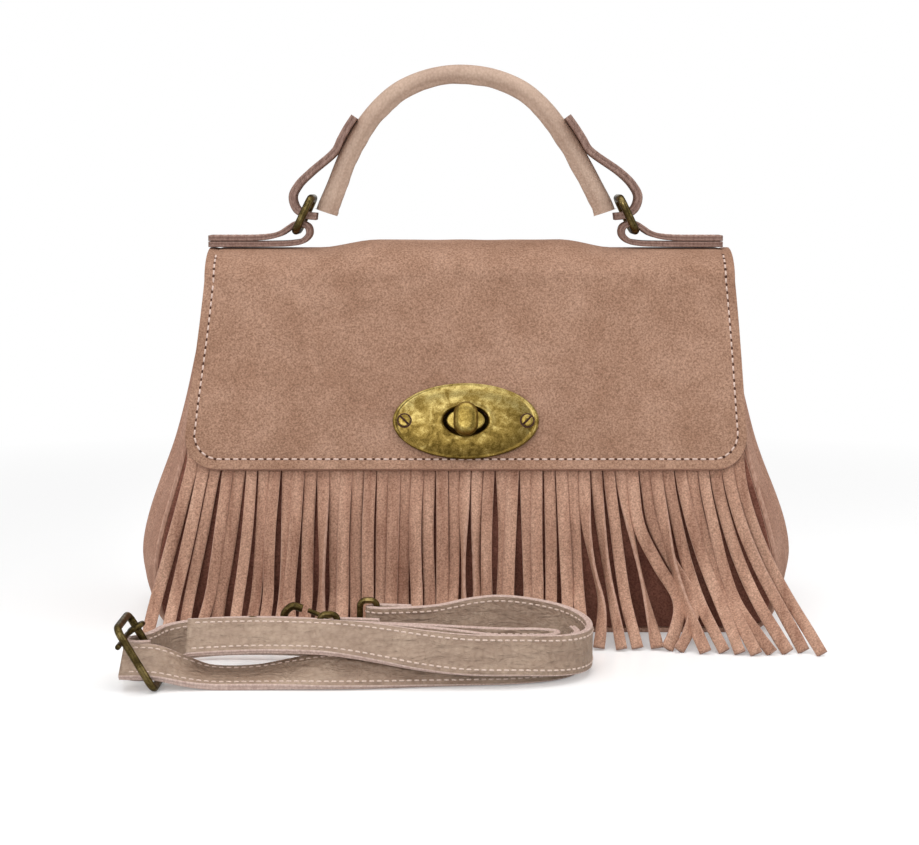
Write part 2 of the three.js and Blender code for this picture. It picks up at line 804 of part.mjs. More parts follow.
const shortRoute = [
  [-40, -128.4, frontHookLift, 0],
  [-50, -127, frontHookLift, 0],
  [-59, -126.4, frontHookLift, 0],
  [-62.8, -130, frontHookLift, 0],
  [-59, -133.6, frontHookLift, 0],
  [-50, -133.2, frontHookLift, 0],
  [-10, -138, 2, 0],
  [14, -141.5, 0, 0],
  [32, -142, 0, 0],
  [40.5, -138.5, 0, 0],
  [41, -133, 0, 0],
  [33, -129.5, 0, 0],
  [16, -128.8, 0, 0],
  [-21, -124, 0.8, 0],
  [-52, -119.8, 1, 0],
  [-82, -116.9, 2.4, 0],
  [-111, -115, 2, 0],
  [-128, -117.5, 1.2, 0],
  [-138.5, -125, 0.6, 0],
  [-143, -135, 0, 0],
  [-147.5, -142.5, 0, 0],
  [-152.6, -148.6, 0, 0],
  [-148.6, -153.8, 0, 0],
  [-141, -153.2, 0, 0],
];

function strap(route, samples) {
  const stops = route.map(([x, y, lift]) => v3(x, y, lift));
  const curve = new THREE.CatmullRomCurve3(stops, false, "centripetal");
  const leans = profile(route.map((stop, i) => [i / (route.length - 1), stop[3]]));
  const stations = steps(samples, 0, 1);
  const points = stations.map((share) => {
    const lean = THREE.MathUtils.degToRad(leans(share));
    const p = curve.getPoint(share);
    const run = curve.getTangent(share).setZ(0).normalize();
    const left = v3(-run.y, run.x, 0);
    p.addScaledVector(left, (strapWidth / 2) * Math.sin(lean));
    const rise = (strapWidth / 2) * Math.cos(lean) + (strapThickness / 2) * Math.abs(Math.sin(lean));
    return v3(p.x, p.y, p.z + rise + floorClearance);
  });
  return sweep(points, v3(0, 0, 1), (i) => {
    const lean = THREE.MathUtils.degToRad(leans(stations[i]));
    return [
      [strapThickness / 2, strapWidth / 2],
      [-strapThickness / 2, strapWidth / 2],
      [-strapThickness / 2, -strapWidth / 2],
      [strapThickness / 2, -strapWidth / 2],
    ].map(([a, b]) => [a * Math.cos(lean) + b * Math.sin(lean), b * Math.cos(lean) - a * Math.sin(lean)]);
  });
}

// Buckle: a group whose +Z runs up the slanted frame; the strap passes through it along X
const buckle = new THREE.Group();
buckle.rotation.y = THREE.MathUtils.degToRad(-buckleSlant);
const buckleRise = buckleHalfHeight * Math.cos(buckle.rotation.y) + buckleWire * 1.02 + floorClearance;
buckle.position.set(...bucklePlace, buckleRise);
bag.add(buckle);

function buckleFrame() {
  const loop = roundedLoop(v3(0, 0, 0), v3(0, 1, 0), v3(0, 0, 1), buckleHalfDepth, buckleHalfHeight, 4, 3);
  return wire(loop, v3(1, 0, 0), buckleWire, 8, true);
}

function buckleProng() {
  const eyeRadius = buckleWire + turnGap + 2 * prongWire;
  const low = prongHeight - prongWire;
  const high = prongHeight + prongWire;
  const eye = oval(eyeRadius, eyeRadius, low, high, 14).translate(0, buckleHalfDepth, 0);
  const bore = oval(buckleWire + turnGap, buckleWire + turnGap, low - 1, high + 1, 14);
  const tip = -buckleHalfDepth - buckleWire;
  const front = -buckleWire - prongWire - turnGap;
  const rod = wire(
    [
      v3(-1, buckleHalfDepth - eyeRadius + 1, prongHeight),
      v3(front, 0, prongHeight),
      v3(front, tip, prongHeight),
    ],
    v3(0, 0, 1),
    prongWire,
    8,
  );
  return cut(join(eye, rod), bore.translate(0, buckleHalfDepth, 0));
}

// A snap hook along -X of its own group: an eye for the strap, a swivelling body and a sprung gate
function snapHook(name, group) {
  bag.add(group);
  const up = v3(0, 0, 1);
  const along = v3(1, 0, 0);
  const eyeHalfHeight = strapWidth / 2 + eyeWire + 1;
  const loop = roundedLoop(v3(0, 0, 0), along, up, eyeHalfLength, eyeHalfHeight, 3, 3);
  const eyeLoop = wire(loop, v3(0, 1, 0), eyeWire, 8, true);
  const stemEnd = -eyeHalfLength - swivelGap - swivelLength * 0.6;
  const stem = oval(stemRadius, stemRadius, 0, -stemEnd - eyeHalfLength, 10);
  stem.rotateY(-Math.PI / 2).translate(-eyeHalfLength, 0, 0);
  piece(name + "_eye", join(eyeLoop, stem), brass, group);

  const bodyStart = -eyeHalfLength - eyeWire - swivelGap;
  const bodyEnd = bodyStart - swivelLength;
  const barrel = oval(swivelRadius, swivelRadius, 0, swivelLength, 14, 0.9);
  barrel.rotateY(-Math.PI / 2).translate(bodyStart, 0, 0);
  const bore = oval(stemRadius + turnGap, stemRadius + turnGap, -1, -stemEnd + bodyStart + turnGap, 12);
  bore.rotateY(-Math.PI / 2).translate(bodyStart, 0, 0);
  const bow = [
    [1.5, -1],
    [-3, -3.2],
    [-10, -5],
    [-18, -4.4],
    [-24.2, -0.4],
    [-25.6, 4.8],
    [-21.8, 8.7],
    [-17, 7.6],
  ].map(([x, z]) => v3(bodyEnd + x, 0, z));
  const bowCurve = new THREE.CatmullRomCurve3(bow).getPoints(18);
  const body = cut(join(barrel, wire(bowCurve, v3(0, 1, 0), hookWire, 8)), bore);
  piece(name + "_body", body, brass, group);

  const gateFrom = v3(bodyEnd - gateWire / 2 - turnGap, 0, 1.2);
  const gateTo = v3(bodyEnd - 16.4 + hookWire, 0, 6.8);
  const gate = wire([gateFrom, gateFrom.clone().lerp(gateTo, 0.5), gateTo], v3(0, 1, 0), gateWire, 8);
  piece(name + "_gate", gate, brass, group);
}

// Assembly
piece("gusset", gusset(), suede);
piece("front_panel", cut(panel(-1), inLockFrame(studHole())), suede);
piece("back_panel", panel(1), suede);
piece("base_board", baseBoard(), board);
piece("lining", lining(), liningCloth);
piece("flap", cut(flap(), ...[slotThrough(0.6), ...screwHoles].map(inLockFrame)), suede);
piece("fringe", fringe(), suedeFringe);

piece("lock_plate", lockPlate(), brass, lock);
piece("lock_screw_left", lockScrew(screwPlaces.left, Math.PI * 0.75), brass, lock);
piece("lock_screw_right", lockScrew(screwPlaces.right, Math.PI * 0.25), brass, lock);
piece("lock_backing_plate", lockBacking(), brass, lock);
piece("lock_base", lockBase(), brass, lock);
piece("lock_washer", lockWasher(), brass, lock);
piece("turn_knob", turnKnob(), brass, lock);

piece("handle", handle(), smoothLeather);
for (const [word, side] of [
  ["left", -1],
  ["right", 1],
]) {
  piece("handle_tab_" + word, handleTab(side), suede);
  piece("ring_" + word, ring(side), brass);
  piece("anchor_" + word, anchor(side), suede);
}

piece("strap_long", strap(longRoute, 70), strapLeather);
piece("strap_tail", strap(tailRoute, 40), strapLeather);
piece("strap_short", strap(shortRoute, 60), strapLeather);

piece("buckle_frame", buckleFrame(), brass, buckle);
piece("buckle_prong", buckleProng(), brass, buckle);
const backHook = new THREE.Group();
backHook.position.set(...backHookPlace, backHookLift + strapWidth / 2 + floorClearance);
snapHook("back_hook", backHook);
const frontHook = new THREE.Group();
frontHook.position.set(...frontHookPlace, frontHookLift + strapWidth / 2 + floorClearance);
snapHook("front_hook", frontHook);

export default bag;
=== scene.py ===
# %% [markdown]
# A suede handbag with a fringe, an oval turn lock, an arched handle and a folded shoulder strap.
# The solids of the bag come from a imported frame: it knows where each piece sits and how the moving ones turn. This
# lesson dresses them. Each soft piece is built again as a finer surface in the place of its solid, and the metal and
# the threads get their own small forms. All sizes below are millimetres until a mesh is made, because leather
# workers think in them, and Blender's own unit here is the metre.

# %% Load the frame
import json
import math

import bmesh
import bpy
from mathutils import Matrix, Vector, noise

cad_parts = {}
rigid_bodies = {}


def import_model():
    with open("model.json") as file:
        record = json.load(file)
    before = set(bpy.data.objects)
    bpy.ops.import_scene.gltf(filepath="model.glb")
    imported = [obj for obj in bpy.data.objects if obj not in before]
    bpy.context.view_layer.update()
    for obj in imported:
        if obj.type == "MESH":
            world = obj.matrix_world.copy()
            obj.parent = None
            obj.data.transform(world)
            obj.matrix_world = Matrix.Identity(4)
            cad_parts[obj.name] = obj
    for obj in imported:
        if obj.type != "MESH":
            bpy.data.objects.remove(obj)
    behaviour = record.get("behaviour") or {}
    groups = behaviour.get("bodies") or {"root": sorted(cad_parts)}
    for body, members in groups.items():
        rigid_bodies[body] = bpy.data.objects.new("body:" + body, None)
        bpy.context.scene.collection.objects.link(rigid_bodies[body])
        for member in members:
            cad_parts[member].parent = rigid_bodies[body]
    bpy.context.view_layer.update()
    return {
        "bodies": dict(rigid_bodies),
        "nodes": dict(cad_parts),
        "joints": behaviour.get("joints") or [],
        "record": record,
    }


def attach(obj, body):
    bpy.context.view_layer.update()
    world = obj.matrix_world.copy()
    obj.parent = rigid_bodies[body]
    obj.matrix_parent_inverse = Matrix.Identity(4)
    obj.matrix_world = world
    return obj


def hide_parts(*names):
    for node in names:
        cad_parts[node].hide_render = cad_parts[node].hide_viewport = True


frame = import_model()
scene = bpy.context.scene
print("nodes in the frame:", len(frame["nodes"]))

# %% [markdown]
# The camera stands one metre in front of the bag, a little above the handle, and looks slightly down. A long lens
# keeps the sides of the bag nearly parallel, as in a catalogue picture. The numbers were found by laying known
# points of the bag, such as the lock and the ends of the flap, over the picture.

# %% Camera
CAMERA_PLACE = Vector((-0.0031, -1.0, 0.220))
CAMERA_PITCH = math.radians(7)
FOCAL_MM = 75.96

camera = bpy.data.objects.new("camera", bpy.data.cameras.new("camera"))
camera.data.lens = FOCAL_MM
camera.data.sensor_width = 36
camera.location = CAMERA_PLACE
camera.rotation_euler = (math.pi / 2 - CAMERA_PITCH, 0, 0)
scene.collection.objects.link(camera)
scene.camera = camera
scene.view_settings.view_transform = "Standard"
print("camera at", tuple(camera.location))

# %% [markdown]
# Every material here is a small graph of nodes. One helper adds a node, sets it up and feeds its inputs, each either
# with a plain value or with what another node gives.

# %% Nodes
def feed(tree, socket, value):
    if isinstance(value, bpy.types.NodeSocket):
        tree.links.new(value, socket)
    else:
        socket.default_value = value


def add_node(tree, kind, inputs=None, **settings):
    """A new shader node; its inputs are given by name or by number."""
    node = tree.nodes.new("ShaderNode" + kind)
    for name, value in settings.items():
        setattr(node, name, value)
    for name, value in (inputs or {}).items():
        feed(tree, node.inputs[name], value)
    return node


print("an input takes a value or a", bpy.types.NodeSocket.__name__)

# %% [markdown]
# Soft light suits suede: a hard lamp would flatten the nap into one tone. A wide panel overhead makes the light top
# fold of the flap, a large one in front keeps the face even, and weaker ones at the sides and behind draw the edges.
# The sky is white to the camera only, and lights the bag weakly. The floor is brighter to the camera than to the light
# that bounces off it, so that it doesn't wash the bag out. Its shadow stays near the bag and fades into white.

# %% Lights, sky and floor
BAG_MIDDLE = (0, 0, 0.12)
LAMPS = {  # place, target, size in metres, watts
    "top_panel": ((0, -0.25, 1.3), (0, 0, 0.1), (1.6, 1.2), 11),
    "front_panel_light": ((-0.35, -1.6, 0.75), BAG_MIDDLE, (1.3, 1.0), 10.5),
    "right_panel": ((1.4, -0.5, 0.6), BAG_MIDDLE, (0.8, 1.0), 4.5),
    "left_panel": ((-1.4, -0.4, 0.6), BAG_MIDDLE, (0.8, 1.0), 3),
    "rear_panel": ((0.2, 1.5, 0.8), BAG_MIDDLE, (1.4, 0.9), 4),
}
for name, (place, target, size, watts) in LAMPS.items():
    lamp = bpy.data.lights.new(name, "AREA")
    lamp.shape = "RECTANGLE"
    lamp.size, lamp.size_y = size
    lamp.energy = watts
    holder = bpy.data.objects.new(name, lamp)
    holder.location = place
    holder.rotation_euler = (Vector(target) - Vector(place)).to_track_quat("-Z", "Y").to_euler()
    scene.collection.objects.link(holder)


def white_over(tree, shader, share, output):
    """Lays a plain white over a shader by a share, and sends the two to the output."""
    white = add_node(tree, "Emission")
    mix = add_node(tree, "MixShader", {0: share, 1: shader, 2: white.outputs[0]})
    tree.links.new(mix.outputs[0], output)


SKY_LIGHT = 0.3
world = bpy.data.worlds.new("studio")
scene.world = world
world.use_nodes = True
sky_tree = world.node_tree
sky = sky_tree.nodes["Background"]
sky.inputs["Color"].default_value = (1, 1, 1, 1)
sky.inputs["Strength"].default_value = SKY_LIGHT
to_eye = add_node(sky_tree, "LightPath").outputs["Is Camera Ray"]
white_over(sky_tree, sky.outputs[0], to_eye, sky_tree.nodes["World Output"].inputs[0])

FLOOR_HALF = 4.0
FLOOR_TONE = 0.72
FLOOR_TONE_TO_EYE = 1.32
FLOOR_ROUGHNESS = 0.25
WHITE_NEAR_BAG = 0.2
WHITE_GROWS = (0.3, 0.75)  # metres from the bag's middle

floor_mesh = bpy.data.meshes.new("floor")
corners = [(sx * FLOOR_HALF, sy * FLOOR_HALF, 0) for sx, sy in ((-1, -1), (1, -1), (1, 1), (-1, 1))]
floor_mesh.from_pydata(corners, [], [(0, 1, 2, 3)])
floor = bpy.data.objects.new("floor", floor_mesh)
scene.collection.objects.link(floor)
floor_finish = bpy.data.materials.new("floor")
floor_finish.use_nodes = True
floor_tree = floor_finish.node_tree
floor_shader = floor_tree.nodes["Principled BSDF"]
to_eye = add_node(floor_tree, "LightPath").outputs["Is Camera Ray"]
tone = add_node(floor_tree, "MapRange", {"To Min": FLOOR_TONE, "To Max": FLOOR_TONE_TO_EYE, "Value": to_eye})
feed(floor_tree, floor_shader.inputs["Base Color"], tone.outputs["Result"])
feed(floor_tree, floor_shader.inputs["Roughness"], FLOOR_ROUGHNESS)
place = add_node(floor_tree, "TexCoord").outputs["Object"]
distance = add_node(floor_tree, "VectorMath", {0: place}, operation="LENGTH").outputs["Value"]
limits = {"From Min": WHITE_GROWS[0], "From Max": WHITE_GROWS[1], "To Min": WHITE_NEAR_BAG, "To Max": 1.0}
spread = add_node(floor_tree, "MapRange", {**limits, "Value": distance}).outputs["Result"]
share = add_node(floor_tree, "Math", {0: to_eye, 1: spread}, operation="MULTIPLY").outputs[0]
white_over(floor_tree, floor_shader.outputs[0], share, floor_tree.nodes["Material Output"].inputs[0])
floor_mesh.materials.append(floor_finish)
print("lamps:", len(LAMPS))

# %% [markdown]
# Colours are written as the eye reads them, from 0 to 255, and turned into Blender's linear light by one helper.
# Noise is measured in metres here: a scale of 1000 gives grains about a millimetre across.

# %% Helpers for materials
def colour(red, green, blue):
    def linear(value):
        share = value / 255
        return share / 12.92 if share <= 0.04045 else ((share + 0.055) / 1.055) ** 2.4

    return (linear(red), linear(green), linear(blue), 1)


def grey(value):
    return (value, value, value, 1)


class Finish:
    """A material and short ways to add nodes to it; each gives the new node's output."""

    def __init__(self, name):
        self.material = bpy.data.materials.new(name)
        self.material.use_nodes = True
        self.tree = self.material.node_tree
        self.shader = self.tree.nodes["Principled BSDF"]
        self.place = self.add("TexCoord").outputs["Object"]

    def add(self, kind, inputs=None, **settings):
        return add_node(self.tree, kind, inputs, **settings)

    def set(self, **values):
        for name, value in values.items():
            self.shader.inputs[name.replace("_", " ")].default_value = value

    def stretched(self, stretch):
        if stretch is None:
            return self.place
        return self.add("Mapping", {"Scale": stretch, "Vector": self.place}).outputs[0]

    def noise(self, scale, detail=3, roughness=0.55, stretch=None, distortion=0):
        inputs = {"Scale": scale, "Detail": detail, "Roughness": roughness, "Distortion": distortion}
        return self.add("TexNoise", {**inputs, "Vector": self.stretched(stretch)}).outputs["Fac"]

    def cells(self, scale, stretch, drift, drift_size):
        """Distances to the middles of cells, whose outlines wander with a drift."""
        pushed = {0: drift, 1: (drift_size,) * 3, 2: self.stretched(stretch)}
        place = self.add("VectorMath", pushed, operation="MULTIPLY_ADD").outputs[0]
        return self.add("TexVoronoi", {"Scale": scale, "Vector": place}).outputs["Distance"]

    def ramp(self, value, stops):
        node = self.add("ValToRGB", {0: value})
        marks = node.color_ramp.elements
        marks[0].position, marks[0].color = stops[0]
        marks[1].position, marks[1].color = stops[-1]
        for position, tone in stops[1:-1]:
            marks.new(position).color = tone
        return node.outputs[0]

    def multiplied(self, share, tone, by):
        inputs = {0: share, 6: tone, 7: by}
        return self.add("Mix", inputs, data_type="RGBA", blend_type="MULTIPLY").outputs[2]

    def math(self, kind, first, second):
        return self.add("Math", {0: first, 1: second}, operation=kind).outputs[0]

    def bump(self, height, strength, distance_mm, under=None):
        inputs = {"Strength": strength, "Distance": distance_mm / 1000, "Height": height}
        if under is not None:
            inputs["Normal"] = under
        return self.add("Bump", inputs).outputs[0]

    def paint(self, tone, roughness=None, normal=None):
        for name, value in (("Base Color", tone), ("Roughness", roughness), ("Normal", normal)):
            if value is not None:
                self.tree.links.new(value, self.shader.inputs[name])
        return self.material


print("an eye's middle grey in linear light:", round(colour(128, 128, 128)[0], 3))

# %% [markdown]
# Suede is the flesh side of a hide, sanded to a short nap. Three things sell it: broad cloudy patches where the nap
# was brushed different ways, a fine felt-like grain, and a soft sheen that lights up at grazing angles. The cloud
# and the grain are noise at two scales, the sheen is the shader's own.

# %% Suede
def suede(name, light, middle, dark, cloud=38, nap=1050, cloud_stretch=None):
    finish = Finish(name)
    clouds = finish.noise(cloud, 5, 0.62, cloud_stretch, 0.25)
    tone = finish.ramp(clouds, [(0.28, dark), (0.5, middle), (0.74, light)])
    fibres = finish.noise(nap, 3, 0.7)
    speckle = finish.ramp(fibres, [(0.34, (0.52, 0.48, 0.45, 1)), (0.66, (1.24, 1.25, 1.26, 1))])
    tone = finish.multiplied(0.85, tone, speckle)
    normal = finish.bump(finish.noise(nap * 0.55, 3, 0.7), 0.5, 0.28)
    normal = finish.bump(clouds, 0.25, 1.2, normal)
    finish.set(Roughness=0.95, Sheen_Weight=0.2, Sheen_Roughness=0.45, Sheen_Tint=light)
    finish.set(IOR=1.4, Specular_IOR_Level=0.18)
    return finish.paint(tone, normal=normal)


FLAP_SUEDE = suede("flap_suede", colour(188, 151, 129), colour(173, 136, 114), colour(157, 120, 98))
BODY_SUEDE = suede("body_suede", colour(202, 162, 142), colour(184, 143, 123), colour(164, 122, 103))
FRINGE_SUEDE = suede(
    "fringe_suede", colour(213, 173, 150), colour(190, 149, 127), colour(153, 112, 93), 120, 1150, (1, 0.4, 0.1)
)
# The front panel's suede is darker and redder than the body's: painted shade for the panel in the shadow of the flap
# and fringe.
FRONT_SUEDE_PAINTED_SHADE = suede("panel_suede", colour(150, 102, 86), colour(128, 84, 70), colour(106, 66, 55))
TAB_SUEDE = suede("tab_suede", colour(172, 138, 122), colour(154, 120, 105), colour(134, 101, 87), 70)
print("suedes:", FLAP_SUEDE.name, BODY_SUEDE.name, FRINGE_SUEDE.name, TAB_SUEDE.name)

# %% [markdown]
# The handle and the strap are smooth grained leather. Its grain is a net of tiny cells: Voronoi distance makes the
# pebbles, their outlines drift so that no two are alike, and a finer noise breaks them up. Creases run across the
# strap, where it was bent. The colour is darkened between the pebbles and along the creases, as painted shade in
# these hollows. The cut edges of leather are lighter and rough, so they get a finish of their own.

# %% Smooth leather and cut edges
def grained_leather(name, light, dark, cell, grain, shine, crease):
    finish = Finish(name)
    drift = finish.noise(cell * 0.35, 3, 0.55)
    pebbles = finish.cells(cell, (1, 1, 0.7), drift, 0.0016)
    creases = finish.noise(cell * 0.42, 4, 0.6, (0.45, 1, 1.5), 0.9)
    fine = finish.noise(cell * 3, 3, 0.6)
    cloud = finish.noise(45, 3, 0.5)
    tone = finish.ramp(cloud, [(0.3, dark), (0.7, light)])
    # Painted shade: the colour is darkened between the pebbles and along the creases.
    valley_shade = finish.ramp(pebbles, [(0.25, grey(1.02)), (0.85, (0.84, 0.81, 0.79, 1))])
    tone = finish.multiplied(0.85, tone, valley_shade)
    shade = finish.ramp(creases, [(0.38, (0.88, 0.86, 0.85, 1)), (0.56, grey(1.03))])
    tone = finish.multiplied(crease, tone, shade)
    height = finish.math("SUBTRACT", finish.math("MULTIPLY", fine, 0.25), pebbles)
    normal = finish.bump(creases, crease, 2.2)
    normal = finish.bump(height, grain, 0.45, normal)
    rough = finish.ramp(cloud, [(0.3, grey(shine)), (0.7, grey(shine + 0.12))])
    finish.set(IOR=1.45, Specular_IOR_Level=0.4)
    return finish.paint(tone, rough, normal)


def cut_edge(name, light, dark):
    finish = Finish(name)
    fibres = finish.noise(900, 4, 0.7, (1, 1, 0.35))
    tone = finish.ramp(fibres, [(0.3, dark), (0.68, light)])
    normal = finish.bump(fibres, 0.7, 0.3)
    finish.set(Roughness=0.9, Specular_IOR_Level=0.2)
    return finish.paint(tone, normal=normal)


HANDLE_LEATHER = grained_leather(
    "handle_leather", colour(206, 178, 158), colour(186, 157, 138), cell=900, grain=0.35, shine=0.42, crease=0.2
)
STRAP_LEATHER = grained_leather(
    "strap_leather", colour(186, 162, 142), colour(164, 139, 120), cell=470, grain=0.95, shine=0.38, crease=0.95
)
STRAP_EDGE = cut_edge("strap_edge", colour(226, 203, 192), colour(184, 154, 143))
# The suede's cut edges are lighter than its face, and lighter still as a painted highlight along the edges.
SUEDE_EDGE_AND_HIGHLIGHT = cut_edge("suede_edge_and_highlight", colour(208, 170, 150), colour(160, 120, 102))
TAB_EDGE = cut_edge("tab_edge", colour(170, 140, 128), colour(120, 92, 82))
print("leathers:", HANDLE_LEATHER.name, STRAP_LEATHER.name)

# %% [markdown]
# The fittings are cast brass with an antique finish: dipped dark, then rubbed so that the high places shine. The
# dark stays in blotches and pits. One noise decides where the brass is rubbed, another pits it, and both the colour
# and the roughness follow them. The lock plate's colour is also painted lighter towards its top and darker towards
# its bottom, a painted highlight and painted shade from the lamps above and the floor below. The rings are darker
# still, as on the real bag.

# %% Antique brass
PAINTED_LIGHT_DEPTH = 0.13


def antique_brass(name, bright, dull, dark, cover, scale, painted_light_heights=None):
    """Its last argument is two heights in metres: painted highlight above the second, painted shade below the first.
    """
    finish = Finish(name)
    blotch = finish.noise(scale, 5, 0.68, None, 0.4)
    pits = finish.noise(scale * 9, 3, 0.7)
    wear_and_painted_light = blotch
    # Painted light: the plate's colour is lightened towards its top and darkened towards its bottom.
    if painted_light_heights is not None:
        height = finish.add("SeparateXYZ", {0: finish.place}).outputs["Z"]
        limits = {"From Min": painted_light_heights[0], "From Max": painted_light_heights[1], "To Min": -PAINTED_LIGHT_DEPTH, "To Max": PAINTED_LIGHT_DEPTH}
        wear_and_painted_light = finish.math("ADD", blotch, finish.add("MapRange", {**limits, "Value": height}).outputs["Result"])
    tone = finish.ramp(wear_and_painted_light, [(cover - 0.22, dark), (cover, dull), (cover + 0.22, bright)])
    stain = finish.ramp(pits, [(0.36, (0.42, 0.37, 0.27, 1)), (0.54, grey(1))])
    tone = finish.multiplied(0.75, tone, stain)
    rough = finish.ramp(wear_and_painted_light, [(cover - 0.15, grey(0.48)), (cover + 0.2, grey(0.28))])
    normal = finish.bump(pits, 0.22, 0.1)
    normal = finish.bump(blotch, 0.12, 0.3, normal)
    finish.set(Metallic=1.0)
    return finish.paint(tone, rough, normal)


# The two heights give the plate its painted highlight on top and painted shade below.
PLATE_BRASS = antique_brass(
    "plate_brass", colour(196, 176, 112), colour(140, 117, 60), colour(88, 70, 28), 0.5, 210, (0.087, 0.121)
)
KNOB_BRASS = antique_brass(
    "knob_brass", colour(196, 174, 104), colour(156, 132, 66), colour(104, 84, 38), 0.46, 180
)
RING_BRASS = antique_brass(
    "ring_brass", colour(152, 134, 88), colour(96, 82, 48), colour(52, 44, 26), 0.5, 220
)
print("brasses:", PLATE_BRASS.name, KNOB_BRASS.name, RING_BRASS.name)

# %% [markdown]
# The thread is pale waxed polyester, laid in short stitches that sink into the leather. The lining is a plain
# cotton weave: two crossed waves make its bump. The base board under the lining is pressed fibre.

# %% Thread, lining and board
def thread_finish(name, light, dark):
    finish = Finish(name)
    twist = finish.noise(2600, 2, 0.5)
    tone = finish.ramp(twist, [(0.3, dark), (0.7, light)])
    finish.set(Roughness=0.6)
    return finish.paint(tone, normal=finish.bump(twist, 0.4, 0.15))


def woven_cloth(name, light, dark, threads):
    finish = Finish(name)
    crossing = []
    for way in ("X", "Z"):
        wave = finish.add("TexWave", {"Scale": threads, "Vector": finish.place}, bands_direction=way)
        crossing.append(wave.outputs["Fac"])
    weave = finish.math("MULTIPLY", *crossing)
    tone = finish.ramp(weave, [(0.1, dark), (0.7, light)])
    finish.set(Roughness=0.85, Sheen_Weight=0.15)
    return finish.paint(tone, normal=finish.bump(weave, 0.4, 0.3))


FLAP_THREAD = thread_finish("flap_thread", colour(236, 212, 200), colour(206, 176, 162))
STRAP_THREAD = thread_finish("strap_thread", colour(240, 218, 204), colour(212, 186, 172))
LINING_CLOTH = woven_cloth("lining_cloth", colour(160, 132, 112), colour(122, 98, 82), 420)
FIBRE_BOARD = cut_edge("fibre_board", colour(120, 98, 82), colour(84, 68, 56))
print("cloth:", LINING_CLOTH.name, FIBRE_BOARD.name)

# %% [markdown]
# Every leather part is a surface through points, thickened. These helpers build a mesh from a grid of points in
# millimetres, sweep a section along a curve, and set modifiers that round the edges. The faces run the same way, so
# that the thickness always grows inwards.

# %% Mesh helpers
MM = 0.001


def steps(count, start, end):
    return [start + (end - start) * i / count for i in range(count + 1)]


def lerp(a, b, share):
    return a + (b - a) * share


def clamp(value, low=0.0, high=1.0):
    return min(max(value, low), high)


def smooth(value, low, high):
    share = clamp((value - low) / (high - low))
    return share * share * (3 - 2 * share)


def flat(rows):
    return [p for row in rows for p in row]


def circle(count):
    """Angles at even steps, once round."""
    return [2 * math.pi * k / count for k in range(count)]


def run_length(points):
    return sum((b - a).length for a, b in zip(points, points[1:]))


def mesh_piece(name, points, faces, finishes, face_slots=None):
    mesh = bpy.data.meshes.new(name)
    mesh.from_pydata([Vector(p) * MM for p in points], [], faces)
    for finish in finishes:
        mesh.materials.append(finish)
    if face_slots:
        mesh.polygons.foreach_set("material_index", face_slots)
    mesh.polygons.foreach_set("use_smooth", [True] * len(mesh.polygons))
    mesh.update()
    piece = bpy.data.objects.new(name, mesh)
    scene.collection.objects.link(piece)
    return piece


def grid_faces(rows, columns, start=0, wrap=False):
    across = columns if wrap else columns - 1
    faces = []
    for r in range(rows - 1):
        for c in range(across):
            a, b = start + r * columns + c, start + r * columns + (c + 1) % columns
            faces.append((a, b, b + columns, a + columns))
    return faces


def leather_sheet(name, rows, thickness, face, edge, rounding=0.7, levels=1):
    """A sheet under a grid of outer points; its cut edge gets the second finish."""
    piece = mesh_piece(name, flat(rows), grid_faces(len(rows), len(rows[0])), [face, edge])
    if levels:
        fine = piece.modifiers.new("fine", "SUBSURF")
        fine.levels = fine.render_levels = levels
    shell = piece.modifiers.new("thickness", "SOLIDIFY")
    shell.thickness = thickness * MM
    shell.offset = -1
    shell.use_even_offset = True
    shell.material_offset_rim = 1
    edges = piece.modifiers.new("rounded_edge", "BEVEL")
    edges.width = rounding * MM
    edges.segments = 3
    edges.limit_method = "ANGLE"
    edges.angle_limit = math.radians(50)
    return piece


def rounded_section(width, height, radius, corner_steps=3):
    """A rounded rectangle of (side, up) pairs."""
    radius = min(radius, width / 2, height / 2)
    section = []
    for turn, (sx, sy) in enumerate(((1, 1), (-1, 1), (-1, -1), (1, -1))):
        for share in steps(corner_steps, 0, 1):
            angle = (turn + share) * math.pi / 2
            x = sx * (width / 2 - radius) + radius * math.cos(angle)
            section.append((x, sy * (height / 2 - radius) + radius * math.sin(angle)))
    return section


def round_section(radius, sides):
    return [(radius * math.cos(angle), radius * math.sin(angle)) for angle in circle(sides)]


def turned(section, angle):
    c, s = math.cos(angle), math.sin(angle)
    return [(a * c - b * s, a * s + b * c) for a, b in section]


def sweep_points(points, hint, section, closed=False):
    """Rings of a section along points; section may be a list or a function of the station."""
    rings = []
    count = len(points)
    for i, point in enumerate(points):
        after = points[(i + 1) % count if closed else min(i + 1, count - 1)]
        before = points[(i - 1) % count if closed else max(i - 1, 0)]
        along = (after - before).normalized()
        side = Vector(hint).cross(along).normalized()
        up = along.cross(side)
        pairs = section(i, i / (count - 1)) if callable(section) else section
        rings.append([point + side * a + up * b for a, b in pairs])
    return rings


def tube_faces(rings, sides, start=0, closed=False):
    faces = grid_faces(rings, sides, start, wrap=True)
    if closed:
        last = start + (rings - 1) * sides
        faces += [(last + c, last + (c + 1) % sides, start + (c + 1) % sides, start + c) for c in range(sides)]
    else:
        faces.append(tuple(start + c for c in reversed(range(sides))))
        faces.append(tuple(start + (rings - 1) * sides + c for c in range(sides)))
    return faces


def face_outwards(piece):
    """Turns all faces to the outside; the sweeps below run in many directions."""
    work = bmesh.new()
    work.from_mesh(piece.data)
    bmesh.ops.recalc_face_normals(work, faces=work.faces)
    work.to_mesh(piece.data)
    work.free()
    return piece


def swept_piece(name, points, hint, section, finishes, closed=False, face_slots=None):
    rings = sweep_points(points, hint, section, closed)
    faces = tube_faces(len(rings), len(rings[0]), 0, closed)
    return face_outwards(mesh_piece(name, flat(rings), faces, finishes, face_slots))


def between(a, b, low, high, u):
    """The point at u on the line that passes a at low and b at high."""
    return a * ((high - u) / (high - low)) + b * ((u - low) / (high - low))


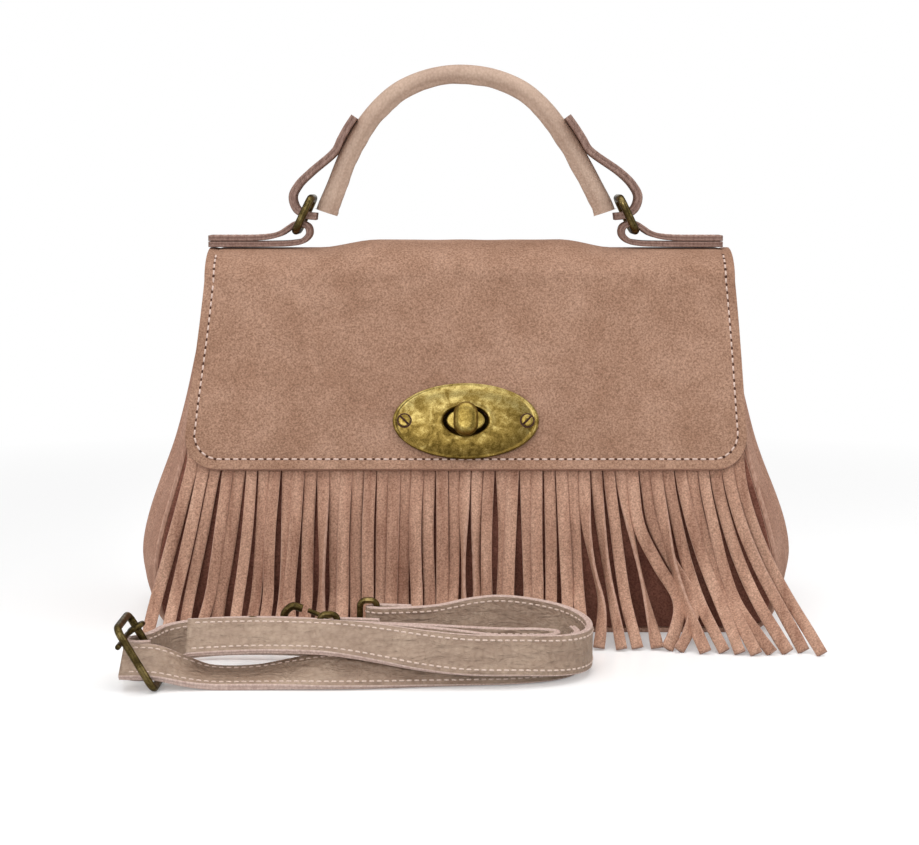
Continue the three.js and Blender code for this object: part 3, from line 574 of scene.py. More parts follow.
def through(knots, per_span, closed=False):
    """A smooth curve through knots, more even than a plain cubic where they lie unevenly."""
    knots = [Vector(k) for k in knots]
    count = len(knots)
    spans = count if closed else count - 1

    def knot(i):
        if closed:
            return knots[i % count]
        if i < 0:
            return knots[0] * 2 - knots[1]
        return knots[i] if i < count else knots[-1] * 2 - knots[-2]

    curve = []
    for i in range(spans):
        p = [knot(i + k) for k in (-1, 0, 1, 2)]
        t = [0.0]
        for k in range(3):
            t.append(t[-1] + max((p[k + 1] - p[k]).length ** 0.5, 1e-4))
        for s in range(per_span):
            u = lerp(t[1], t[2], s / per_span)
            a = [between(p[k], p[k + 1], t[k], t[k + 1], u) for k in range(3)]
            b = [between(a[k], a[k + 1], t[k], t[k + 2], u) for k in range(2)]
            curve.append(between(b[0], b[1], t[1], t[2], u))
    return curve if closed else curve + [knots[-1].copy()]


def profile(knots):
    """A smooth value through (place, value) knots."""
    def slope(i):
        (x0, y0), (x1, y1) = knots[max(i - 1, 0)], knots[min(i + 1, len(knots) - 1)]
        return (y1 - y0) / (x1 - x0)

    def value(place):
        x = clamp(place, knots[0][0], knots[-1][0])
        i = max(k for k in range(len(knots) - 1) if x >= knots[k][0])
        (x0, y0), (x1, y1) = knots[i], knots[i + 1]
        t = (x - x0) / (x1 - x0)
        bend = (t - 2 * t * t + t**3) * slope(i) + (t**3 - t * t) * slope(i + 1)
        return lerp(y0, y1, t * t * (3 - 2 * t)) + bend * (x1 - x0)

    return value


def finish_piece(piece, body, slot_name, *nodes):
    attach(piece, body)
    if nodes:
        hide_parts(*nodes)
    return piece


print("a quarter of the way up an eased step:", round(smooth(0.25, 0, 1), 3))

# %% [markdown]
# The stitches are real little bars of thread, slightly sunk. Each is a short bent capsule: it dives into the
# leather at both ends, and the dark gap between two stitches comes by itself. One mesh holds a whole row.

# %% Stitches
STITCH_PITCH = 4.1
STITCH_LENGTH = 3.2
STITCH_RADIUS = 0.5
STITCH_ARC = [(-0.5, -0.55, 0.55), (-0.38, 0.12, 0.95), (0, 0.34, 1.0), (0.38, 0.12, 0.95), (0.5, -0.55, 0.55)]
STITCH_SIDES = 6


def stitch_row(name, stations, finish, size=1.0):
    """Stations are (point, direction, outward) in millimetres, one for each stitch."""
    points, faces = [], []
    for centre, along, outward in stations:
        along = along.normalized()
        side = outward.cross(along).normalized()
        outward = along.cross(side).normalized()
        start = len(points)
        for share, lift, width in STITCH_ARC:
            middle = centre + along * (share * STITCH_LENGTH * size) + outward * (lift * STITCH_RADIUS * size)
            for angle in circle(STITCH_SIDES):
                off = side * math.cos(angle) * 1.15 + outward * math.sin(angle) * 0.8
                points.append(middle + off * STITCH_RADIUS * width * size)
        faces += tube_faces(len(STITCH_ARC), STITCH_SIDES, start)
    return face_outwards(mesh_piece(name, points, faces, [finish]))


def spaced(points, pitch):
    """Places at an even pitch along a polyline, with the direction there."""
    places, carried = [], 0.5 * pitch
    for a, b in zip(points, points[1:]):
        length = (b - a).length
        while carried <= length and length > 0:
            places.append((a.lerp(b, carried / length), b - a))
            carried += pitch
        carried -= length
    return places


print("stitches in a metre of seam:", round(1000 / STITCH_PITCH))

# %% [markdown]
# The bag's shape is given by four sections: the base, the belly, the waist and the mouth. Smooth curves through
# them give the half width at the seams, the half width of the bulging side and the half depth at any height. Every
# leather piece of the body is drawn from these three, so the pieces fit each other like panels cut from one pattern.

# %% The shape of the body
BASE, BELLY, WAIST, MOUTH = 0, 36, 95, 172
half_bulge = profile([(BASE, 157), (BELLY, 168), (WAIST, 149), (MOUTH, 131)])
half_seam = profile([(BASE, 150), (BELLY, 153), (WAIST, 139), (MOUTH, 128)])
half_depth = profile([(BASE, 60.5), (BELLY, 64), (WAIST, 48.5), (MOUTH, 23)])
BASE_CORNER = 14
PANEL_THICKNESS = 2.5
SEAM_GAP = 0.3
INSIDE = Vector((0, 0, 100))


def room_at(z, inset):
    """Half width of the room inside the gusset at a height."""
    if z >= BASE_CORNER:
        return half_seam(z) - inset
    corner = BASE_CORNER - inset
    return half_seam(BASE_CORNER) - BASE_CORNER + math.sqrt(max(corner**2 - (BASE_CORNER - z) ** 2, 0))


def face_away_from(piece, inside):
    """Turns a sheet's faces so that they look away from a point inside the bag."""
    total = sum((f.center - inside * MM).dot(f.normal) for f in piece.data.polygons)
    if total < 0:
        piece.data.flip_normals()
    return piece


def ripple(x, y, z, size, seed=0):
    """Smooth noise from -1 to 1; size is the width of one wave in millimetres."""
    return noise.noise(Vector((x / size + seed, y / size, z / size)))


print("half width, seam and depth at the belly:", half_bulge(BELLY), half_seam(BELLY), half_depth(BELLY))

# %% [markdown]
# The gusset is one long strip: down one side, under the base and up the other side. Its middle bulges out, and soft
# leather that bulges also folds, so a crease runs down each side before the middle and a weaker one behind it. A few
# broad ripples keep it from looking moulded.

# %% Gusset
CREASE_DEPTH = 5.5


def gusset_rows():
    side = [(half_seam(z), half_bulge(z), z) for z in steps(34, MOUTH, BASE_CORNER)]
    for angle in steps(8, 0, math.pi / 2)[1:]:
        inward = BASE_CORNER * (1 - math.cos(angle))
        low = BASE_CORNER * (1 - math.sin(angle))
        side.append((half_seam(BASE_CORNER) - inward, half_bulge(BASE_CORNER) - inward, low))
    seam, bulge, _ = side[-1]
    side += [(seam * share, bulge * share, 0) for share in (0.85, 0.65, 0.4, 0.2)]
    strip = side + [(0, 0, 0)] + [(-s, -b, z) for s, b, z in reversed(side)]
    rows = []
    for seam, bulge, z in strip:
        row = []
        for across in steps(26, -1, 1):
            x = lerp(seam, bulge, 1 - across**2)
            y = across * half_depth(z)
            high = smooth(z, 18, 60) * (1 - 0.6 * smooth(z, 130, 172))
            fold = math.exp(-(((across + 0.52 - 0.1 * ripple(0, 0, z, 60)) / 0.12) ** 2))
            rear_fold = 0.5 * math.exp(-(((across - 0.4) / 0.16) ** 2))
            folded = CREASE_DEPTH * high * (fold + rear_fold)
            inward = folded + 1.2 * (1 - across**2) * (0.5 + 0.5 * ripple(x, y, z, 42))
            row.append(Vector((x - math.copysign(inward, x) if z > 1 else x, y, z)))
        rows.append(row)
    return rows


gusset = leather_sheet("gusset_suede", gusset_rows(), PANEL_THICKNESS, BODY_SUEDE, SUEDE_EDGE_AND_HIGHLIGHT)
face_away_from(gusset, INSIDE)
finish_piece(gusset, "root", "suede", "gusset")
print("gusset faces:", len(gusset.data.polygons))

# %% [markdown]
# The front and back panels are the two large faces. The front one hides behind the flap and the fringe, and its
# suede is a darker copy of the body's, as painted shade in their shadow. The back one is seen from behind, so it has
# the same ripples and a stitched seam beside the gusset. Both reach a little into the gusset, so that no light shows
# through the seam. The stitches lie on the surface that the panel really has, so the panel is a function from a place
# on the pattern to a point.

# %% Front and back panels
PANEL_INSET = PANEL_THICKNESS + SEAM_GAP
PANEL_OVERLAP = 1.003


def panel_point(facing, share, z):
    half = room_at(z, PANEL_INSET)
    x = share * half
    edge = min(1 - abs(share), 1.0)
    calm = smooth(edge, 0, 0.12) * smooth(z, 4, 30) * smooth(MOUTH - z, 0, 30)
    sink = 1.1 * calm * (0.5 + 0.5 * ripple(x, 0, z, 55, facing * 7))
    return Vector((x, facing * (half_depth(z) - sink), z))


def panel(name, facing):
    heights = [PANEL_INSET, 4.5, 6.5, 9, 12] + steps(32, 16, MOUTH)
    shares = steps(44, -PANEL_OVERLAP, PANEL_OVERLAP)
    rows = [[panel_point(facing, share, z) for share in shares] for z in heights]
    # The front panel takes the darker suede, painted shade behind the flap and the fringe.
    face = FRONT_SUEDE_PAINTED_SHADE if facing < 0 else BODY_SUEDE
    return face_away_from(leather_sheet(name, rows, PANEL_THICKNESS, face, SUEDE_EDGE_AND_HIGHLIGHT), INSIDE)


for facing, word in ((-1, "front"), (1, "back")):
    finish_piece(panel(word + "_panel_suede", facing), "root", "suede", word + "_panel")

FLAP_BACK_EDGE = MOUTH - 26
seam_stations = []
for side in (-1, 1):
    line = []
    for z in steps(150, 9, FLAP_BACK_EDGE - 3):
        share = side * (1 - 4.2 / room_at(z, PANEL_INSET))
        line.append(panel_point(1, share, z))
    for p, along in spaced(line, STITCH_PITCH):
        seam_stations.append((p + Vector((0, 0.1, 0)), along, Vector((0, 1, 0.25))))
back_stitches = stitch_row("back_seam_stitches", seam_stations, FLAP_THREAD)
finish_piece(back_stitches, "root", "suede")
print("stitches on the back:", len(seam_stations))

# %% [markdown]
# The lining is a thin cloth bag inside. Little of it shows, through the gap beside the flap, but it closes the view
# into the bag. It is a ring of points at each height, first down the outside, then up the inside.

# %% Lining and base board
LINING_CORNER = 16
LINING_TOP = 166
LINING_COLUMNS = 90


def inside_ring(z, inset):
    half_x, half_y = room_at(z, inset), half_depth(z) - inset
    corner = min(LINING_CORNER, half_y * 0.7)
    return [Vector((x, y, z)) for x, y in rounded_section(half_x * 2, half_y * 2, corner, 5)]


def even_ring(ring, count):
    """The same ring with its points at even steps, so that cloth can ripple along the straight sides too."""
    closed = ring + [ring[0]]
    return [p for p, _ in spaced(closed, run_length(closed) / count)][:count]


def rippled(p):
    return p - Vector((p.x, p.y, 0)).normalized() * 0.8 * (1 + ripple(p.x, p.y, p.z, 24))


lining_floor = PANEL_THICKNESS + 2 + 2 * SEAM_GAP
outside_heights = [lining_floor, 8, 14] + steps(16, 36, LINING_TOP)
inside_heights = [lining_floor + 1] + outside_heights[1:]
lining_rows = []
for inset, heights in ((5.7, outside_heights), (6.7, reversed(inside_heights))):
    for z in heights:
        lining_rows.append([rippled(p) for p in even_ring(inside_ring(z, inset), LINING_COLUMNS)])
lining_faces = tube_faces(len(lining_rows), LINING_COLUMNS)
lining = face_outwards(mesh_piece("lining_cloth_bag", flat(lining_rows), lining_faces, [LINING_CLOTH]))
finish_piece(lining, "root", "lining", "lining")


def dress_solid(node, finish):
    for slot in bpy.data.objects[node].material_slots:
        slot.material = finish


print("lining floor at", lining_floor, "mm")

# %% [markdown]
# The flap is one thick piece of suede that hangs down the front, rolls over the top and is sewn to the back. A place
# on it is given by how far across it is and how far along from the front edge, as on the cut pattern. The
# handle's anchors press its top roll down at both ends. Near the lower edge and the sides the leather is pulled into
# a shallow groove by the stitches.

# %% The shape of the flap
FLAP_THICKNESS = 3.0
FLAP_BOTTOM = 81.5
FLAP_CORNER = 17
FLAP_FOOT_HALF = 139.6
FLAP_TOP_HALF = 132.8
FLAP_REACH = 2.5 + FLAP_THICKNESS
CROWN_RISE = 19.5
ANCHOR_PRESS = 3.5
TOP_SHIFT = 2
FRONT_RUN = MOUTH - FLAP_BOTTOM
CROWN_RUN = 78
BACK_RUN = 26
CROWN_END = FRONT_RUN + CROWN_RUN
FLAP_RUN = CROWN_END + BACK_RUN
STITCH_INSET = 4.6
LOCK_HEIGHT = 104


def flap_half_width(run):
    if run > FRONT_RUN:
        return FLAP_TOP_HALF
    half = lerp(FLAP_FOOT_HALF, FLAP_TOP_HALF, run / FRONT_RUN)
    if run >= FLAP_CORNER:
        return half
    return half - FLAP_CORNER + math.sqrt(max(FLAP_CORNER**2 - (FLAP_CORNER - run) ** 2, 0))


def edge_distance(x, run):
    """How far a place on the flap is from its nearest cut edge."""
    half = lerp(FLAP_FOOT_HALF, FLAP_TOP_HALF, clamp(run / FRONT_RUN))
    if run < FLAP_CORNER and abs(x) > half - FLAP_CORNER:
        return FLAP_CORNER - math.hypot(abs(x) - (half - FLAP_CORNER), FLAP_CORNER - run)
    return min(half - abs(x), run)


def flap_front_y(z):
    flare = clamp((WAIST - z) / (WAIST - FLAP_BOTTOM)) ** 2
    return -(half_depth(z) + FLAP_REACH + flare)


def flap_base_point(x, run):
    x += TOP_SHIFT * smooth(run, 0, FRONT_RUN)
    if run <= FRONT_RUN:
        z = FLAP_BOTTOM + run
        return Vector((x, flap_front_y(z), z))
    press = smooth(abs(x), 46, 74) * ANCHOR_PRESS
    if run <= CROWN_END:
        angle = math.pi * (run - FRONT_RUN) / CROWN_RUN
        reach = lerp(FLAP_REACH, SEAM_GAP + FLAP_THICKNESS, angle / math.pi)
        y = -(half_depth(MOUTH) + reach) * math.cos(angle)
        return Vector((x, y, MOUTH + (CROWN_RISE - press) * math.sin(angle)))
    z = MOUTH - (run - FRONT_RUN - CROWN_RUN)
    return Vector((x, half_depth(z) + SEAM_GAP + FLAP_THICKNESS, z))


def flap_normal(x, run):
    along = flap_base_point(x, run + 1) - flap_base_point(x, run - 1 if run > 1 else run)
    return Vector((1, 0, 0)).cross(along).normalized()


def flap_point(x, run):
    edge = edge_distance(x, run)
    groove = 0.4 * math.exp(-(((edge - STITCH_INSET) / 1.3) ** 2))
    from_lock = math.hypot(x / 52, (run - (LOCK_HEIGHT - FLAP_BOTTOM)) / 30)
    calm = smooth(from_lock, 0.8, 1.7)
    crown = smooth(run, FRONT_RUN - 6, FRONT_RUN + 12) * (1 - smooth(run, CROWN_END - 20, CROWN_END))
    on_anchor = smooth(abs(x), 60, 74)
    swell = 1.3 * calm * (0.5 + 0.5 * ripple(x, 0, run, 34)) + 0.5 * calm * ripple(x, 5, run, 15)
    swell *= (1 - crown * (0.4 + 0.6 * on_anchor)) * smooth(edge, 0, 10)
    return flap_base_point(x, run) + flap_normal(x, run) * (max(swell, 0) - groove)


print("the flap is cut", round(FLAP_RUN), "mm long and", 2 * FLAP_FOOT_HALF, "mm wide")

# %% [markdown]
# The mesh follows the pattern: the rows and columns are close together beside the cut edge, where the groove is, and
# wider apart in the middle. The faces under the lock plate's slot are taken out, because the real leather has a
# hole there.

# %% Flap
NEAR_EDGE = [0, 0.8, 1.8, 2.8, 3.7, 4.6, 5.5, 6.5, 8]
FLAP_SLOT_HALF = (13.5, 10)


def flap_runs():
    front = NEAR_EDGE + [10, 12, 14.5, 17] + steps(22, 20, FRONT_RUN)
    return front + steps(30, FRONT_RUN, CROWN_END)[1:] + steps(9, CROWN_END, FLAP_RUN)[1:]


def flap_columns(half):
    left = [-half + d for d in NEAR_EDGE + [10.5]]
    return left + steps(56, -half + 14, half - 14) + [-x for x in reversed(left)]


def open_slot(piece, half_width, half_height):
    work = bmesh.new()
    work.from_mesh(piece.data)
    gone = []
    for face in work.faces:
        c = face.calc_center_median() / MM
        if c.y < 0 and math.hypot(c.x / half_width, (c.z - LOCK_HEIGHT) / half_height) < 1:
            gone.append(face)
    bmesh.ops.delete(work, geom=gone, context="FACES")
    work.to_mesh(piece.data)
    work.free()


flap_rows = [[flap_point(x, run) for x in flap_columns(flap_half_width(run))] for run in flap_runs()]
flap = leather_sheet("flap_suede_piece", flap_rows, FLAP_THICKNESS, FLAP_SUEDE, SUEDE_EDGE_AND_HIGHLIGHT, 0.8, levels=0)
face_away_from(flap, INSIDE)
open_slot(flap, *FLAP_SLOT_HALF)
finish_piece(flap, "root", "suede", "flap")
print("flap faces:", len(flap.data.polygons))

# %% [markdown]
# One row of thread runs down the left side, round the corners, along the bottom and up the right side. It keeps
# the same distance from the edge all the way. Another row on the back holds the flap to the back panel. Each hole
# between two stitches is a dark dimple: painted shade in the hole.

# %% Stitches of the flap
def inset_outline(inset, top_run):
    """Places on the flap at a distance from its edge, from the upper left to the upper right."""
    right = []
    corner = FLAP_CORNER - inset
    for angle in steps(14, 0, math.pi / 2):
        half = lerp(FLAP_FOOT_HALF, FLAP_TOP_HALF, FLAP_CORNER / FRONT_RUN)
        right.append((half - FLAP_CORNER + corner * math.sin(angle), FLAP_CORNER - corner * math.cos(angle)))
    for run in steps(60, FLAP_CORNER + 1.5, top_run):
        half = lerp(FLAP_FOOT_HALF, FLAP_TOP_HALF, clamp(run / FRONT_RUN))
        right.append((half - inset, run))
    bottom = [(x, inset) for x in steps(80, -right[0][0] + 1, right[0][0] - 1)]
    return [(-x, run) for x, run in reversed(right)] + bottom + right


def dimples(name, places, radius, finish):
    points, faces = [], []
    for centre, along, outward in places:
        side = outward.cross(along).normalized()
        start = len(points)
        for share, sink in ((1.0, 0.0), (0.55, 0.06), (0.1, 0.02)):
            for angle in circle(8):
                spoke = along.normalized() * math.cos(angle) + side * math.sin(angle)
                points.append(centre + spoke * radius * share + outward * (0.04 + sink))
        faces += tube_faces(3, 8, start)
    return face_outwards(mesh_piece(name, points, faces, [finish]))


# A dark finish: painted shade in the stitch holes, and the dark rings round the screw heads.
HOLE_SHADE_AND_DARK_RINGS = cut_edge("stitch_hole", colour(96, 66, 56), colour(60, 38, 32))
flap_line = [flap_point(x, run) for x, run in inset_outline(STITCH_INSET, FRONT_RUN + 24)]


def out_of_flap(point):
    if point.z < MOUTH:
        rise = half_depth(point.z - 1) - half_depth(point.z + 1)
        return Vector((0, -2, rise)).normalized()
    return Vector((0, point.y, point.z - MOUTH + 2)).normalized()


flap_stations = [(p, along, out_of_flap(p)) for p, along in spaced(flap_line, STITCH_PITCH)]
flap_stitches = stitch_row("flap_stitches", flap_stations, FLAP_THREAD, 0.85)
finish_piece(flap_stitches, "root", "suede")
half_pitch = [(p + along.normalized() * STITCH_PITCH / 2, along, out) for p, along, out in flap_stations]
finish_piece(dimples("flap_stitch_hole_shade", half_pitch, 0.75, HOLE_SHADE_AND_DARK_RINGS), "root", "suede")

BACK_SEAM_HALF = 127
back_line = [flap_point(x, FLAP_RUN - 5) for x in steps(120, -BACK_SEAM_HALF, BACK_SEAM_HALF)]
back_row = [(p, along, Vector((0, 1, 0.3))) for p, along in spaced(back_line, STITCH_PITCH)]
finish_piece(stitch_row("flap_back_stitches", back_row, FLAP_THREAD), "root", "suede")
print("stitches on the flap:", len(flap_stations))

# %% [markdown]
# The fringe was cut from one wide piece of suede: a band that is sewn behind the flap's edge, and 47 strands. Every
# strand falls down the bag's front, follows the belly and kicks forward where it meets the floor. Suede strips curl
# and twist as they dry, so each gets its own swing, bow and turn, and a few that stand out in the picture are listed
# as turned edge-on or curled. The numbers come from a sine trick that gives a strand the same draw every time.

# %% One strand's route
STRANDS = 47
STRAND_PITCH = 5.85
STRAND_WIDTH = 5.5
STRAND_THICKNESS = 1.6
STRAND_LAYER = 1.9
FRINGE_ROOT = FLAP_BOTTOM + 3
FRINGE_TOP = FRINGE_ROOT + 8
FLOOR_CLEARANCE = 0.12
BAND_STAND_OFF = SEAM_GAP + STRAND_THICKNESS
LAST_STRAND = STRANDS - 1

side_swing = profile([(-1, -19), (-0.86, -12), (-0.6, -2), (0.3, 0), (0.5, 11), (0.6, 17), (0.72, 21), (1, 33)])
tip_reach = profile([(-1, -82), (-0.5, -84), (0.3, -86), (0.45, -96), (0.7, -104), (1, -108)])
EDGE_ON = {11: 70, 23: 85, 24: -60, 33: 75, 34: 60, 36: -80, 39: 60}
CURLS = {9: -3, 33: 3, 37: 9, 38: 9.5, 43: -2}
STRAND_SHARES = (1, 0.852, 0.639, 0.426, 0.237, 0.095, 0.0166)


def chance(strand, use):
    wave = math.sin(strand * 12.9898 + use * 78.233) * 43758.5453
    return wave - math.floor(wave)


def around(strand, use, size):
    return size * (2 * chance(strand, use) - 1)


def strand_turn(number):
    return math.radians(EDGE_ON.get(number, around(number, 4, 17)))


def strand_route(number):
    place = (number - LAST_STRAND / 2) / (LAST_STRAND / 2)
    root = (number - LAST_STRAND / 2) * STRAND_PITCH
    swing = side_swing(place) + around(number, 1, 1.3)
    reach = tip_reach(place) + around(number, 2, 5)
    bow = around(number, 3, 1.5)
    hook = around(number, 5, 1.1) + CURLS.get(number, 0)
    odd = number % 2
    route = []
    for i, z in enumerate([FRINGE_TOP - 2] + [share * FRINGE_ROOT for share in STRAND_SHARES]):
        drop = clamp((FRINGE_ROOT - z) / FRINGE_ROOT)
        layer = odd * STRAND_LAYER * smooth(drop, 0, 0.25)
        room = 0 if i < 3 else 2.4 * abs(math.sin(strand_turn(number)))
        slack = 0.15 if i < 2 else 0.5 + room + layer
        rest = -(half_depth(z) + BAND_STAND_OFF - STRAND_THICKNESS / 2 + slack + 2 * drop)
        out = smooth(drop, 0.62, 1) ** 1.2
        curl = hook * (smooth(drop, 0.35, 0.8) - 1.5 * smooth(drop, 0.8, 1))
        x = root + swing * drop ** (1.1 if swing < -6 else 1.55)
        x = x + bow * math.sin(math.pi * drop) + curl
        route.append(Vector((x, min(rest, lerp(rest, reach - odd * STRAND_LAYER, out)), z)))
    return route


print("the middle strand's tip in mm:", tuple(round(v, 1) for v in strand_route(23)[-1]))

# %% [markdown]
# A strand's section is a thin rounded bar with softened corners, a little cupped. Its width wanders by a few
# hundredths, because it was cut by hand with shears, and the turn grows towards the middle of its length. All strands
# and the band are one mesh, as they are one piece of hide. The cut edges get the lighter edge finish, lighter than cut
# suede alone: a painted highlight along the strands' edges.

# %% Fringe
STRAND_EDGE = ((1, 0.35), (0.94, 0.85), (0.55, 1), (0, 1), (-0.55, 1), (-0.94, 0.85), (-1, 0.35))
MIDDLE_STRAND = 23


def strand_section(width, cup):
    half, thin = width / 2, STRAND_THICKNESS / 2
    upper = [(half * a, b) for a, b in STRAND_EDGE]
    return [(a, b * thin + cup * (a / half) ** 2) for a, b in upper + [(-a, -b) for a, b in upper]]


STRAND_SIDES = 14
EDGE_COLUMNS = (0, 5, 6, 7, 12, 13)


def strand_mesh(number, points, faces, slots):
    route = through(strand_route(number), 7)
    turn = strand_turn(number)

    def section(i, share):
        angle = turn * math.sin(math.pi * clamp((share - 0.28) / 0.66))
        angle += math.radians(14) * ripple(share * 60, number * 9.7, 0, 22) * clamp(share * 4)
        width = STRAND_WIDTH * (1.04 + around(number, 6, 0.06) + 0.06 * ripple(share * 80, number * 5.1, 3, 18))
        cup = 0.35 * ripple(share * 40, number * 3.3, 9, 20)
        return turned(strand_section(width, cup), angle)

    rings = sweep_points(route, (0, 1, 0), section)
    start = len(points)
    for ring in rings:
        points += [Vector((p.x, p.y, max(p.z, FLOOR_CLEARANCE))) for p in ring]
    made = tube_faces(len(rings), STRAND_SIDES, start)
    faces += made
    for k in range(len(made)):
        on_edge = k % STRAND_SIDES in EDGE_COLUMNS or k >= len(made) - 2
        slots.append(1 if on_edge else 0)


fringe_points, fringe_faces, fringe_slots = [], [], []
for number in range(STRANDS):
    strand_mesh(number, fringe_points, fringe_faces, fringe_slots)
band_half = STRANDS * STRAND_PITCH / 2
band_corners = ((FRINGE_ROOT, 0), (FRINGE_TOP, 0), (FRINGE_TOP, STRAND_THICKNESS), (FRINGE_ROOT, STRAND_THICKNESS))
band_rings = []
for x in steps(60, -band_half, band_half):
    band_rings.append([Vector((x, -(half_depth(z) + BAND_STAND_OFF) + depth, z)) for z, depth in band_corners])
band_faces = tube_faces(len(band_rings), len(band_corners), len(fringe_points))
fringe_points += flat(band_rings)
fringe_faces += band_faces
fringe_slots += [0] * len(band_faces)
fringe_mesh = mesh_piece("fringe_strands", fringe_points, fringe_faces, [FRINGE_SUEDE, SUEDE_EDGE_AND_HIGHLIGHT], fringe_slots)
fringe = face_outwards(fringe_mesh)
finish_piece(fringe, "root", "fringe_suede", "fringe")
strand_reach = run_length(strand_route(MIDDLE_STRAND)) + 2
print("fringe faces:", len(fringe.data.polygons))

# %% [markdown]
# The turn lock is made in its own frame: its middle lies on the flap, +X runs across and +Z points out of the
# leather. One matrix carries everything from that frame to the bag. The flap leans back a little, so the lock does.

# %% The lock's frame
lock_slope = (half_depth(LOCK_HEIGHT - 1) - half_depth(LOCK_HEIGHT + 1)) / 2
lock_tilt = math.atan(lock_slope)
lock_place = Matrix.Translation((0, flap_front_y(LOCK_HEIGHT), LOCK_HEIGHT))
lock_frame = lock_place @ Matrix.Rotation(math.pi / 2 - lock_tilt, 4, "X")
PLATE_HALF = (36, 19)
SLOT_HALF = (11.2, 7.5)
PLATE_BACK = 0.8
PLATE_FACE = 2.2
PLATE_DOME = 1.2


def lathe_ovals(name, stations, finish, sides=72, centre_x=0, closed=False):
    """Oval rings (half width, half height, height) stacked into one closed body in the lock's frame."""
    points = []
    for half_width, half_height, z in stations:
        for angle in circle(sides):
            x, y = centre_x + half_width * math.cos(angle), half_height * math.sin(angle)
            points.append(lock_frame @ Vector((x, y, z)))
    return face_outwards(mesh_piece(name, points, tube_faces(len(stations), sides, 0, closed), [finish]))


print("the lock leans back by", round(math.degrees(lock_tilt), 1), "degrees")

# %% [markdown]
# The plate is an oval with an oval window. It is thin sheet brass, slightly domed, with a narrow raised rim that
# catches the light. Each station below is a share of the way from the window to the outer edge, and a height.

# %% Lock plate
def plate_station(share, z):
    return (lerp(SLOT_HALF[0], PLATE_HALF[0], share), lerp(SLOT_HALF[1], PLATE_HALF[1], share), z)


dome_top = PLATE_FACE + PLATE_DOME
plate_profile = [
    (0, PLATE_BACK), (0, dome_top - 0.45), (0.012, dome_top - 0.12), (0.035, dome_top + 0.08), (0.07, dome_top + 0.1),
    (0.1, dome_top - 0.02), (0.2, dome_top), (0.32, dome_top - 0.04), (0.45, dome_top - 0.16),
    (0.58, dome_top - 0.38), (0.7, dome_top - 0.68), (0.8, dome_top - 1.02), (0.87, dome_top - 1.32),
    (0.915, dome_top - 1.5), (0.935, dome_top - 1.3), (0.955, dome_top - 1.2), (0.975, dome_top - 1.26),
    (0.992, dome_top - 1.5), (1, dome_top - 1.8), (1, PLATE_BACK + 0.2), (0.99, PLATE_BACK),
]
plate = lathe_ovals("lock_plate_brass", [plate_station(*s) for s in plate_profile], PLATE_BRASS, 120, closed=True)
finish_piece(plate, "root", "brass", "lock_plate")
print("plate faces:", len(plate.data.polygons))

# %% [markdown]
# Two slotted screws hold the plate. Each head is a low dome with a dark ring round it. The slot is cut out of the
# mesh. The left slot and the right one stand at different angles, as the screws were tightened by hand.

# %% Screws
def block(name, centre, size, turn):
    points = []
    for sx in (-0.5, 0.5):
        for sy in (-0.5, 0.5):
            for sz in (-0.5, 0.5):
                p = Vector((sx * size[0], sy * size[1], 0))
                p.rotate(Matrix.Rotation(turn, 3, "Z"))
                points.append(lock_frame @ (Vector(centre) + p + Vector((0, 0, sz * size[2]))))
    faces = [(0, 1, 3, 2), (4, 6, 7, 5), (0, 4, 5, 1), (2, 3, 7, 6), (0, 2, 6, 4), (1, 5, 7, 3)]
    return face_outwards(mesh_piece(name, points, faces, [HOLE_SHADE_AND_DARK_RINGS]))


def cut_by(piece, tool):
    """Cuts the tool out of a piece's mesh, and takes the tool away."""
    cut = piece.modifiers.new("slot", "BOOLEAN")
    cut.operation = "DIFFERENCE"
    cut.solver = "EXACT"
    cut.object = tool
    graph = bpy.context.evaluated_depsgraph_get()
    made = bpy.data.meshes.new_from_object(piece.evaluated_get(graph))
    piece.modifiers.clear()
    piece.data = made
    bpy.data.objects.remove(tool)


SCREW_OFFSET = 30.2
SCREW_RADIUS = 2.9


def lock_screw(name, x, turn, node):
    """A low head with its slot, and the ring round it."""
    seat, radius = PLATE_FACE + SEAM_GAP + 0.35, SCREW_RADIUS
    heads = [(0.9, -4.1), (1.3, -3.9), (1.3, seat), (radius * 0.99, seat), (radius, seat + 0.5)]
    heads += [(radius * 0.94, seat + 0.66), (radius * 0.8, seat + 0.74), (radius * 0.4, seat + 0.8)]
    heads.append((0.02, seat + 0.8))
    head = lathe_ovals(name, [(r, r, z) for r, z in heads], KNOB_BRASS, 40, x)
    head.data.materials.append(HOLE_SHADE_AND_DARK_RINGS)
    cut_by(head, block("slot_cutter", (x, 0, seat + 1.0), (radius * 3, 0.95, 1.5), turn))
    finish_piece(head, "root", "brass", node)
    collar = [(0.1, seat - 0.2), (0.75, seat - 0.2), (0.7, seat + 0.27), (0.1, seat + 0.33)]
    stations = [(radius + out, radius + out, z) for out, z in collar]
    finish_piece(lathe_ovals(name + "_ring", stations, HOLE_SHADE_AND_DARK_RINGS, 40, x, closed=True), "root", "brass")


lock_screw("screw_left", -SCREW_OFFSET, math.radians(135), "lock_screw_left")
lock_screw("screw_right", SCREW_OFFSET, math.radians(45), "lock_screw_right")
print("screws made")

# %% [markdown]
# The boss stands on the bag itself and comes up through the window when the flap is shut. A dark gap stays round
# it. The knob on its stem is a thick pill. It stands upright when the lock is shut, and a quarter turn lets the
# flap open. The knob rides on its own body, the boss on the bag.

